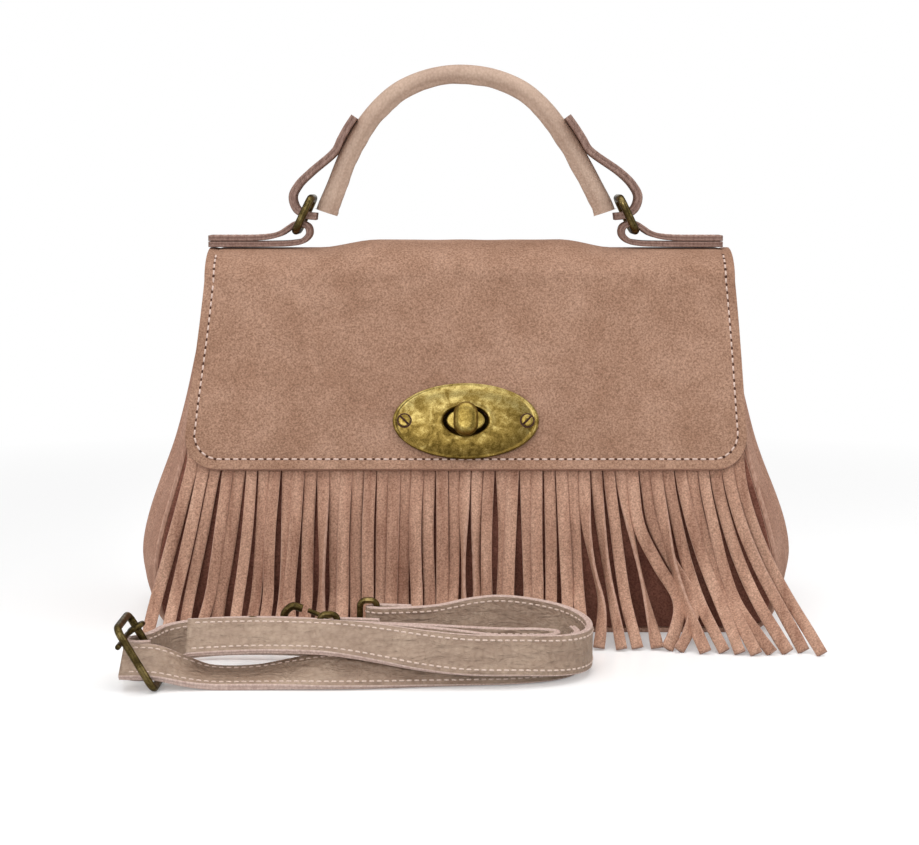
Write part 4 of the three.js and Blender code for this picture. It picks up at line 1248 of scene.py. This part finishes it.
# %% Boss and knob
BOSS_HALF = (9.8, 6)
boss_top = dome_top + 0.8
panel_face = -(FLAP_REACH + clamp((WAIST - LOCK_HEIGHT) / (WAIST - FLAP_BOTTOM)) ** 2) * math.cos(lock_tilt)
flange_back = panel_face + SEAM_GAP
boss_profile = [
    (1.6, flange_back), (1.6, flange_back + 0.6), (0, flange_back + 0.7), (-0.3, boss_top - 1),
    (-0.45, boss_top - 0.35), (-0.8, boss_top - 0.05), (-1.2, boss_top),
]
boss_stations = [(BOSS_HALF[0] + out, BOSS_HALF[1] + out, z) for out, z in boss_profile]
boss_stations += [(3.4, 3.4, boss_top), (3.0, 3.0, boss_top - 0.1), (3.0, 3.0, flange_back)]
finish_piece(lathe_ovals("lock_boss", boss_stations, KNOB_BRASS, closed=True), "root", "brass", "lock_base")

KNOB_HALF = (6.0, 8.5)
KNOB_THICKNESS = 7.5
STEM_SIDES = 24


def knob_ring(z, share, sides=12):
    """A pill outline: two half circles joined by straight sides."""
    radius = KNOB_HALF[0] * share
    straight = KNOB_HALF[1] * share - radius
    outline = []
    for turn, middle in ((0, straight), (math.pi, -straight)):
        for angle in steps(sides, turn, turn + math.pi):
            outline.append(lock_frame @ Vector((radius * math.cos(angle), middle + radius * math.sin(angle), z)))
    return outline


knob_from = boss_top + 0.35
knob_profile = [
    (0.0, 0.74), (0.02, 0.83), (0.07, 0.91), (0.16, 0.965), (0.3, 0.995), (0.45, 1), (0.6, 0.985), (0.74, 0.94),
    (0.86, 0.86), (0.94, 0.75), (0.985, 0.6), (1.0, 0.42), (1.005, 0.2), (1.007, 0.03),
]
knob_rings = [knob_ring(knob_from + KNOB_THICKNESS * t, share) for t, share in knob_profile]
knob_points = flat(knob_rings)
knob_faces = tube_faces(len(knob_rings), len(knob_rings[0]))
knob_faces += tube_faces(2, STEM_SIDES, len(knob_points))
for z in (panel_face - 3.5, knob_from + 1):
    knob_points += [lock_frame @ Vector((x, y, z)) for x, y in round_section(2.6, STEM_SIDES)]
knob = face_outwards(mesh_piece("knob_brass_pill", knob_points, knob_faces, [KNOB_BRASS]))
finish_piece(knob, "turn_knob", "brass", "turn_knob")
for node in ("lock_backing_plate", "lock_washer"):
    dress_solid(node, PLATE_BRASS)
dress_solid("base_board", FIBRE_BOARD)
print("knob from", round(knob_from, 2), "to", round(knob_from + KNOB_THICKNESS, 2), "mm above the flap")

# %% [markdown]
# The handle is a cord wrapped in smooth leather. The two edges of the wrap meet on the inside of the arch, where they
# are sewn, and stand up as a small wavy ridge. A section that is a circle with one raised place makes both. The arch
# leans a little to the left, because it is soft, and its two ends are cut off at a slant.

# %% Handle
ANCHOR_SEAT = MOUTH + CROWN_RISE - ANCHOR_PRESS + SEAM_GAP
HANDLE_TOP = 275.7
HANDLE_END = ANCHOR_SEAT + 19.7
HANDLE_HALF_WIDTH = 70.6
HANDLE_SKEW = -2.2
HANDLE_ARCH = [
    (1.02, -0.08), (1, 0), (0.93, 0.157), (0.827, 0.384), (0.709, 0.591), (0.562, 0.775), (0.426, 0.886),
    (0.22, 0.972), (0, 1),
]
HANDLE_END_RADIUS = 5.8
HANDLE_TOP_RADIUS = 4.9
HANDLE_END_CUT = (75, 18.7, 67, 16)
HANDLE_SIDES = 40


def arch_point(side, across, rise):
    skew = HANDLE_SKEW * smooth(rise, 0, 0.6)
    return Vector((side * across * HANDLE_HALF_WIDTH + skew, 0, lerp(HANDLE_END, HANDLE_TOP, rise)))


arch_knots = [arch_point(-1, *stop) for stop in HANDLE_ARCH]
arch_knots += [arch_point(1, *stop) for stop in reversed(HANDLE_ARCH[:-1])]
handle_line = through(arch_knots, 12)


def handle_section(i, share):
    middle = math.sin(math.pi * clamp(share, 0.001, 0.999)) ** 0.8
    base = lerp(HANDLE_END_RADIUS, HANDLE_TOP_RADIUS, middle)
    seam_place = -0.4 + 0.3 * ripple(share * 90, 0, 0, 9)
    ring = []
    for angle in circle(HANDLE_SIDES):
        off = (angle - seam_place + math.pi) % (2 * math.pi) - math.pi
        ridge = math.exp(-((off / 0.22) ** 2)) * (0.75 + 0.45 * ripple(share * 230, 0, 4, 6))
        dent = -0.3 * math.exp(-(((abs(off) - 0.5) / 0.2) ** 2))
        wrinkle = 0.1 * ripple(share * 160, angle * 2, 1, 9)
        radius = base + ridge + dent + wrinkle - 0.15
        ring.append((radius * math.cos(angle), radius * math.sin(angle)))
    return ring


def cut_height(x):
    """The cut at a handle's end: a slanted line in height over the distance from the middle."""
    outer_x, outer_rise, inner_x, inner_rise = HANDLE_END_CUT
    return ANCHOR_SEAT + lerp(inner_rise, outer_rise, (abs(x) - inner_x) / (outer_x - inner_x))


handle_rings = sweep_points(handle_line, (0, 1, 0), handle_section)
for ring in handle_rings:
    for p in ring:
        p.z = max(p.z, cut_height(p.x))
handle_faces = tube_faces(len(handle_rings), HANDLE_SIDES)
handle = face_outwards(mesh_piece("handle_leather_arch", flat(handle_rings), handle_faces, [HANDLE_LEATHER]))
finish_piece(handle, "handle", "handle_leather", "handle")
print("handle length along its middle:", round(run_length(handle_line)), "mm")

# %% [markdown]
# Straps, tabs and anchors are all strips of leather: flat bars with soft corners, two layers glued and sewn. The
# section has a fine groove in the middle of each cut edge where the layers meet. One helper sweeps it and gives the
# cut edges their own finish.

# %% Layered strips
STRIP_CORNER = 0.5


def layered_section(thickness, width):
    half_t, half_w = thickness / 2, width / 2
    quarter = [(half_t, half_w - STRIP_CORNER), (half_t * 0.93, half_w - STRIP_CORNER * 0.4)]
    quarter += [(half_t - STRIP_CORNER * 0.75, half_w), (0.28 * half_t, half_w + 0.05), (0.12 * half_t, half_w - 0.3)]
    top = quarter + [(-a, b) for a, b in reversed(quarter)]
    side = [(-half_t, half_w * s) for s in (0.72, 0.5, 0, -0.5, -0.72)]
    return top + side + [(-a, -b) for a, b in top + side]


def strip_slots(count, section, width):
    """The finish of each face: 1 on the cut edges and the two ends."""
    on_edge = []
    for k, (_, b) in enumerate(section):
        nearer = min(abs(b), abs(section[(k + 1) % len(section)][1]))
        on_edge.append(1 if nearer > width / 2 - STRIP_CORNER - 0.01 else 0)
    return on_edge * (count - 1) + [1, 1]


def layered_strip(name, points, hint, thickness, width, face, edge, lean=None):
    strip = layered_section(thickness, width)

    def section(i, share):
        return turned(strip, -lean(share) if lean else 0.0)

    slots = strip_slots(len(points), strip, width)
    return swept_piece(name, points, hint, section, [face, edge], face_slots=slots)


print("points in a strip's section:", len(layered_section(3, 18)))

# %% [markdown]
# At each end of the handle a tab of suede-backed leather is laid along the outside of the arch. It comes down, turns
# round the upper bar of a brass ring and returns under the handle's end. The anchor is a strip that lies on the top
# of the flap, loops up round the ring's lower bar and comes back over itself. The ring swings on its anchor, and the
# loop is kept small, so that the tab clears it at both ends of the swing.

# %% Tabs, anchors and rings
TAB_THICKNESS = 3.6
TAB_WIDTH = 16.5
ANCHOR_LAYER = 2.8
ANCHOR_WIDTH = 18
ANCHOR_END = 131
RING_LOWER = (86.4, ANCHOR_SEAT + 8.3)
RING_UPPER = (78.5, ANCHOR_SEAT + 24.7)
RING_WIRE = 2.0
RING_HALF_DEPTH = 12.2
TAB_LOOP = [(0.6, 12.9), (6.8, 6.7), (9.7, 0.8), (7.7, -5.6), (2.6, -8.6), (-2.4, -9.3)]


def tab_line(side):
    knots = []
    for share in (0.26, 0.235, 0.21, 0.188):
        at = share if side < 0 else 1 - share
        bulk = math.sin(math.pi * at) ** 0.8
        out = TAB_THICKNESS / 2 + lerp(HANDLE_END_RADIUS, HANDLE_TOP_RADIUS, bulk) - 0.05
        i = at * (len(handle_line) - 1)
        low = min(int(i), len(handle_line) - 2)
        p = handle_line[low].lerp(handle_line[low + 1], i - low)
        t = (handle_line[low + 1] - handle_line[low]).normalized()
        knots.append(Vector((p.x - t.z * out, 0, p.z + t.x * out)))
    knots += [Vector((side * (RING_UPPER[0] + x), 0, RING_UPPER[1] + z)) for x, z in TAB_LOOP]
    return through(knots, 9)


def anchor_line(side):
    half = ANCHOR_LAYER / 2
    knots = [(ANCHOR_END, half), (112, half), (99, half + 0.1), (89, half + 0.5), (83, 3.2), (80, 6.4)]
    knots += [(80.4, 9.9), (82.8, 11.5), (86.4, 11.8), (89.9, 9.8), (94.2, 7), (100, 5.3), (108, 4.6)]
    knots += [(120, 4.5), (ANCHOR_END, 4.5)]
    knots = [(x, ANCHOR_SEAT + rise) for x, rise in knots]
    return through([(side * x, 0, z) for x, z in knots], 7)


def ring_line(side):
    lower = Vector((side * RING_LOWER[0], 0, RING_LOWER[1]))
    upper = Vector((side * RING_UPPER[0], 0, RING_UPPER[1]))
    along = (upper - lower).normalized()
    centre = (lower + upper) / 2
    loop = rounded_section(2 * RING_HALF_DEPTH, (upper - lower).length, 4, 8)
    return [centre + Vector((0, 1, 0)) * a + along * b for a, b in loop], Vector((0, 1, 0)).cross(along).normalized()


def edge_seams(name, line, width, thickness, first, last, outward_sign):
    """Two rows of stitches along a strip that runs in the plane across the bag, between two shares of its length."""
    stations = []
    row = line[int(first * len(line)) : int(last * len(line))]
    for depth in (-(width / 2 - 3), width / 2 - 3):
        for p, along in spaced(row, STITCH_PITCH):
            outward = Vector((0, 1, 0)).cross(along.normalized()) * outward_sign
            stations.append((p + Vector((0, depth, 0)) + outward * (thickness / 2 - 0.35), along, outward))
    return stitch_row(name, stations, FLAP_THREAD)


for side, word in ((-1, "left"), (1, "right")):
    strips = (
        ("tab", tab_line(side), TAB_THICKNESS, TAB_WIDTH, "handle", "handle_tab_", (0.02, 0.6)),
        ("anchor", anchor_line(side), ANCHOR_LAYER, ANCHOR_WIDTH, "root", "anchor_", (0.78, 0.99)),
    )
    for part, line, thickness, width, body, node, _ in strips:
        strip = layered_strip(part + "_suede_" + word, line, (0, 1, 0), thickness, width, TAB_SUEDE, TAB_EDGE)
        finish_piece(strip, body, "suede", node + word)
    loop, across = ring_line(side)
    ring = swept_piece("ring_brass_" + word, loop, across, round_section(RING_WIRE, 20), [RING_BRASS], closed=True)
    finish_piece(ring, "ring_" + word, "brass", "ring_" + word)
    for part, line, thickness, width, body, _, sewn in strips:
        seam = edge_seams(part + "_stitches_" + word, line, width, thickness, *sewn, -side)
        finish_piece(seam, body, "suede")
print("tabs, anchors and rings made on both sides")

# %% [markdown]
# The shoulder strap lies folded on the floor in front of the bag. Three lengths of it are drawn: a long one from the
# rear snap hook, round the right bend and back in front; its tail through the buckle; and a short one from the
# other hook round the buckle's back bar. A strap on its edge is a strip whose width stands up. Its route gives the
# place of the lower edge, how far that is off the floor, and how much the strap leans.

# %% Strap routes
STRAP_WIDTH = 18
STRAP_THICKNESS = 3
STRAP_PITCH = 3.3
BACK_HOOK_LIFT = 5
FRONT_HOOK_LIFT = 4.2
LONG_ROUTE = [
    (-26, -102.4, BACK_HOOK_LIFT, 0), (-35, -101, BACK_HOOK_LIFT, 0), (-42, -100.4, BACK_HOOK_LIFT, 0),
    (-45.8, -104, BACK_HOOK_LIFT, 0), (-42, -107.6, BACK_HOOK_LIFT, 0), (-33, -107.2, BACK_HOOK_LIFT, 0),
    (-14, -105, 5.6, 0), (4, -99.5, 8, 0), (16, -98, 8.7, 0), (32, -100.5, 7.6, 0), (46, -108, 5.8, 0),
    (54.5, -121, 4, 0), (56, -136, 3, 0), (52.5, -150, 3, -4), (44, -160, 3.5, -10), (24, -168, 5, -17),
    (0, -170, 5.8, -20), (-20, -170.2, 8, -29), (-35, -169.6, 10.6, -38), (-50, -168.4, 12.9, -45),
    (-64, -167, 14.2, -50), (-93, -166, 14.6, -48), (-112, -165.5, 13.8, -45), (-124, -165, 13, -42),
]
TAIL_ROUTE = [
    (-152, -173, 4.6, 50), (-137, -173.5, 4.4, 52), (-122, -172.5, 1.2, 66), (-112, -172, 0, 75), (-93, -172, 0, 74),
    (-78, -172, 0, 62), (-64, -172, 0, 48), (-50, -171.4, 0, 42), (-35, -169.8, 0, 34), (-20, -167.6, 0, 27),
    (0, -165, 0, 18), (22, -161.6, 0, 12), (38, -155, 0, 8), (47.5, -145, 0, 4), (50.5, -134, 0, 0), (49, -124, 0, 0),
]
SHORT_ROUTE = [
    (-40, -128.4, FRONT_HOOK_LIFT, 0), (-50, -127, FRONT_HOOK_LIFT, 0), (-59, -126.4, FRONT_HOOK_LIFT, 0),
    (-62.8, -130, FRONT_HOOK_LIFT, 0), (-59, -133.6, FRONT_HOOK_LIFT, 0), (-50, -133.2, FRONT_HOOK_LIFT, 0),
    (-10, -138, 2, 0), (14, -141.5, 0, 0), (32, -142, 0, 0), (40.5, -138.5, 0, 0), (41, -133, 0, 0),
    (33, -129.5, 0, 0), (16, -128.8, 0, 0), (-21, -124, 0.8, 0), (-52, -119.8, 1, 0), (-82, -116.9, 2.4, 0),
    (-111, -115, 2, 0), (-128, -117.5, 1.2, 0), (-138.5, -125, 0.6, 0), (-143, -135, 0, 0), (-147.5, -142.5, 0, 0),
    (-152.6, -148.6, 0, 0), (-148.6, -153.8, 0, 0), (-141, -153.2, 0, 0),
]


def strap_path(route, per_span=8):
    """Middle points of a strap and its lean in radians at each."""
    knots = [Vector(stop[:3]) for stop in route]
    curve = through(knots, per_span)
    leans = profile([(i, stop[3]) for i, stop in enumerate(route)])
    middle, angles = [], []
    for i, p in enumerate(curve):
        lean = math.radians(leans(i / per_span))
        run = curve[min(i + 1, len(curve) - 1)] - curve[max(i - 1, 0)]
        run = Vector((run.x, run.y, 0)).normalized()
        left = Vector((-run.y, run.x, 0))
        rise = STRAP_WIDTH / 2 * math.cos(lean) + STRAP_THICKNESS / 2 * abs(math.sin(lean))
        middle.append(p + left * (STRAP_WIDTH / 2 * math.sin(lean)) + Vector((0, 0, rise + FLOOR_CLEARANCE)))
        angles.append(lean)
    return middle, angles


def strap_length(route):
    return run_length(strap_path(route)[0])


print("strap lengths in mm:", [round(strap_length(r)) for r in (LONG_ROUTE, TAIL_ROUTE, SHORT_ROUTE)])

# %% [markdown]
# Each length is two layers of grained leather with raw pink edges, sewn along both sides, and the rows of thread show
# on both faces. The stitches are placed in the strap's own turned section, so they lean with it.

# %% Strap
STRAPS = (("long", LONG_ROUTE), ("tail", TAIL_ROUTE), ("short", SHORT_ROUTE))
SEAM_FROM_EDGE = 2.5


def sew_strap(name, middle, angles, finish):
    stations = []
    for face, row in ((-1, -1), (-1, 1), (1, -1), (1, 1)):
        points, outs = [], []
        for i, p in enumerate(middle):
            along = (middle[min(i + 1, len(middle) - 1)] - middle[max(i - 1, 0)]).normalized()
            side = Vector((0, 0, 1)).cross(along).normalized()
            up = along.cross(side)
            c, s = math.cos(angles[i]), math.sin(angles[i])
            thick, wide = side * c - up * s, side * s + up * c
            offset = thick * face * STRAP_THICKNESS / 2 + wide * row * (STRAP_WIDTH / 2 - SEAM_FROM_EDGE)
            points.append(p + offset)
            outs.append(thick * face)
        for p, along in spaced(points[2:-2], STRAP_PITCH):
            nearest = min(range(len(points)), key=lambda k: (points[k] - p).length)
            stations.append((p, along, outs[nearest]))
    return stitch_row(name, stations, finish, 0.72)


for word, route in STRAPS:
    name, node = "strap_" + word + "_leather", "strap_" + word
    middle, angles = strap_path(route)

    def lean(share, angles=angles):
        return angles[round(share * (len(angles) - 1))]

    piece = layered_strip(name, middle, (0, 0, 1), STRAP_THICKNESS, STRAP_WIDTH, STRAP_LEATHER, STRAP_EDGE, lean)
    finish_piece(piece, "root", "strap_leather", node)
    strap_length(route) * MM
    finish_piece(sew_strap(node + "_stitches", middle, angles, STRAP_THREAD), "root", "strap_leather")
    print(name, "faces:", len(piece.data.polygons))

# %% [markdown]
# The buckle is a square wire frame that stands slanted, with the prong lying through the tail's hole. Wire fittings
# are swept round sections. The prong's eye turns on the frame's side bar, so it rides on its own body.

# %% Buckle
BUCKLE_WIRE = 1.7
BUCKLE_HALF_HEIGHT = 15.5
BUCKLE_HALF_DEPTH = 15
BUCKLE_SLANT = math.radians(30)
PRONG_WIRE = 1.2
PRONG_HEIGHT = 8.5
WIRE_SIDES = 18
buckle_rise = BUCKLE_HALF_HEIGHT * math.cos(BUCKLE_SLANT) + BUCKLE_WIRE * 1.02 + FLOOR_CLEARANCE
buckle_frame = Matrix.Translation((-144, -162, buckle_rise)) @ Matrix.Rotation(-BUCKLE_SLANT, 4, "Y")


def wire_piece(name, points, hint, radius, frame, closed=False):
    placed = [frame @ Vector(p) for p in points]
    section = round_section(radius, WIRE_SIDES)
    return swept_piece(name, placed, frame.to_3x3() @ Vector(hint), section, [RING_BRASS], closed)


frame_loop = [(0, a, b) for a, b in rounded_section(2 * BUCKLE_HALF_DEPTH, 2 * BUCKLE_HALF_HEIGHT, 4, 8)]
buckle = wire_piece("buckle_brass", frame_loop, (1, 0, 0), BUCKLE_WIRE, buckle_frame, True)
finish_piece(buckle, "root", "brass", "buckle_frame")


def join_pieces(name, pieces):
    """One mesh from several closed shells."""
    work = bmesh.new()
    for piece in pieces:
        work.from_mesh(piece.data)
        bpy.data.objects.remove(piece)
    mesh = bpy.data.meshes.new(name)
    work.to_mesh(mesh)
    work.free()
    mesh.materials.append(RING_BRASS)
    joined = bpy.data.objects.new(name, mesh)
    scene.collection.objects.link(joined)
    return joined


prong_front = -BUCKLE_WIRE - PRONG_WIRE - 0.35
prong_tip = -BUCKLE_HALF_DEPTH - BUCKLE_WIRE
eye_radius = BUCKLE_WIRE + 0.35 + PRONG_WIRE
prong_bends = [(-1.6, BUCKLE_HALF_DEPTH - eye_radius + 0.6), (prong_front, BUCKLE_HALF_DEPTH - 7), (prong_front, 0)]
prong_rod = through([(x, y, PRONG_HEIGHT) for x, y in prong_bends + [(prong_front, prong_tip)]], 10)
eye_loop = [(x, BUCKLE_HALF_DEPTH + y, PRONG_HEIGHT) for x, y in round_section(eye_radius, 32)]
prong = join_pieces("prong_brass", [
    wire_piece("rod", prong_rod, (0, 0, 1), PRONG_WIRE, buckle_frame),
    wire_piece("eye", eye_loop, (0, 0, 1), PRONG_WIRE, buckle_frame, True),
])
finish_piece(prong, "buckle_prong", "brass", "buckle_prong")
print("buckle middle at", tuple(round(v, 1) for v in buckle_frame.translation))

# %% [markdown]
# Each snap hook has three parts: an eye that holds the strap, a hook that spins on the eye's stem, and a sprung gate
# that closes the hook. The hook's body is a turned barrel with a collar and a bent wire. They ride on three
# bodies, so the hook can spin and the gate can open.

# %% Snap hooks
EYE_HALF_LENGTH = 4
EYE_WIRE = 1.5
HOOK_WIRE = 1.9
GATE_WIRE = 1.1
SWIVEL_GAP = 0.5
SWIVEL_LENGTH = 8
STEM_RADIUS = 1.5
HOOK_BOW = [(1.5, -1), (-3, -3.2), (-10, -5), (-18, -4.4), (-24.2, -0.4), (-25.6, 4.8), (-21.8, 8.7), (-17, 7.6)]
BARREL = [
    (0, 1.9), (0, 2.9), (-0.4, 3.3), (-1.6, 3.4), (-2.1, 3.1), (-2.5, 2.8), (-6.2, 2.8), (-6.6, 3.0), (-7.2, 3.2),
    (-7.8, 2.9), (-8, 2.4), (-8, 1.9),
]
TURNED_SIDES = 36


def turned_along_x(name, stations, frame):
    """A turned part on the X axis: (x, radius) stations."""
    points = []
    for x, radius in stations:
        points += [frame @ Vector((x, y, z)) for y, z in round_section(radius, TURNED_SIDES)]
    return face_outwards(mesh_piece(name, points, tube_faces(len(stations), TURNED_SIDES), [RING_BRASS]))


def snap_hook(prefix, place, lift, bodies):
    frame = Matrix.Translation((place[0], place[1], lift + STRAP_WIDTH / 2 + FLOOR_CLEARANCE))
    body_start = -EYE_HALF_LENGTH - EYE_WIRE - SWIVEL_GAP
    body_end = body_start - SWIVEL_LENGTH
    stem_end = -EYE_HALF_LENGTH - SWIVEL_GAP - SWIVEL_LENGTH * 0.6
    half_height = STRAP_WIDTH / 2 + EYE_WIRE + 1
    loop = [(a, 0, b) for a, b in rounded_section(2 * EYE_HALF_LENGTH, 2 * half_height, 3, 8)]
    eye = join_pieces(prefix + "_eye_brass", [
        wire_piece("loop", loop, (0, 1, 0), EYE_WIRE, frame, True),
        turned_along_x("stem", [(-EYE_HALF_LENGTH, STEM_RADIUS), (stem_end, STEM_RADIUS)], frame),
    ])
    finish_piece(eye, "root", "brass", prefix + "_eye")
    barrel = turned_along_x("barrel", [(body_start + x, r) for x, r in BARREL] + [(body_end, 0.02)], frame)
    bow_line = through([(body_end + x, 0, z) for x, z in HOOK_BOW], 8)
    bow = wire_piece("bow", bow_line, (0, 1, 0), HOOK_WIRE, frame)
    finish_piece(join_pieces(prefix + "_body_brass", [barrel, bow]), bodies[0], "brass", prefix + "_body")
    gate_from = Vector((body_end - GATE_WIRE / 2 - 0.35, 0, 1.2))
    gate_to = Vector((body_end - 16.4 + HOOK_WIRE, 0, 6.8))
    gate_line = through([gate_from, gate_from.lerp(gate_to, 0.5), gate_to], 8)
    gate = wire_piece(prefix + "_gate_brass", gate_line, (0, 1, 0), GATE_WIRE, frame)
    finish_piece(gate, bodies[1], "brass", prefix + "_gate")


snap_hook("back_hook", (-46, -104), BACK_HOOK_LIFT, ("back_hook", "back_gate"))
snap_hook("front_hook", (-63, -130), FRONT_HOOK_LIFT, ("front_hook", "front_gate"))
print("both snap hooks made")
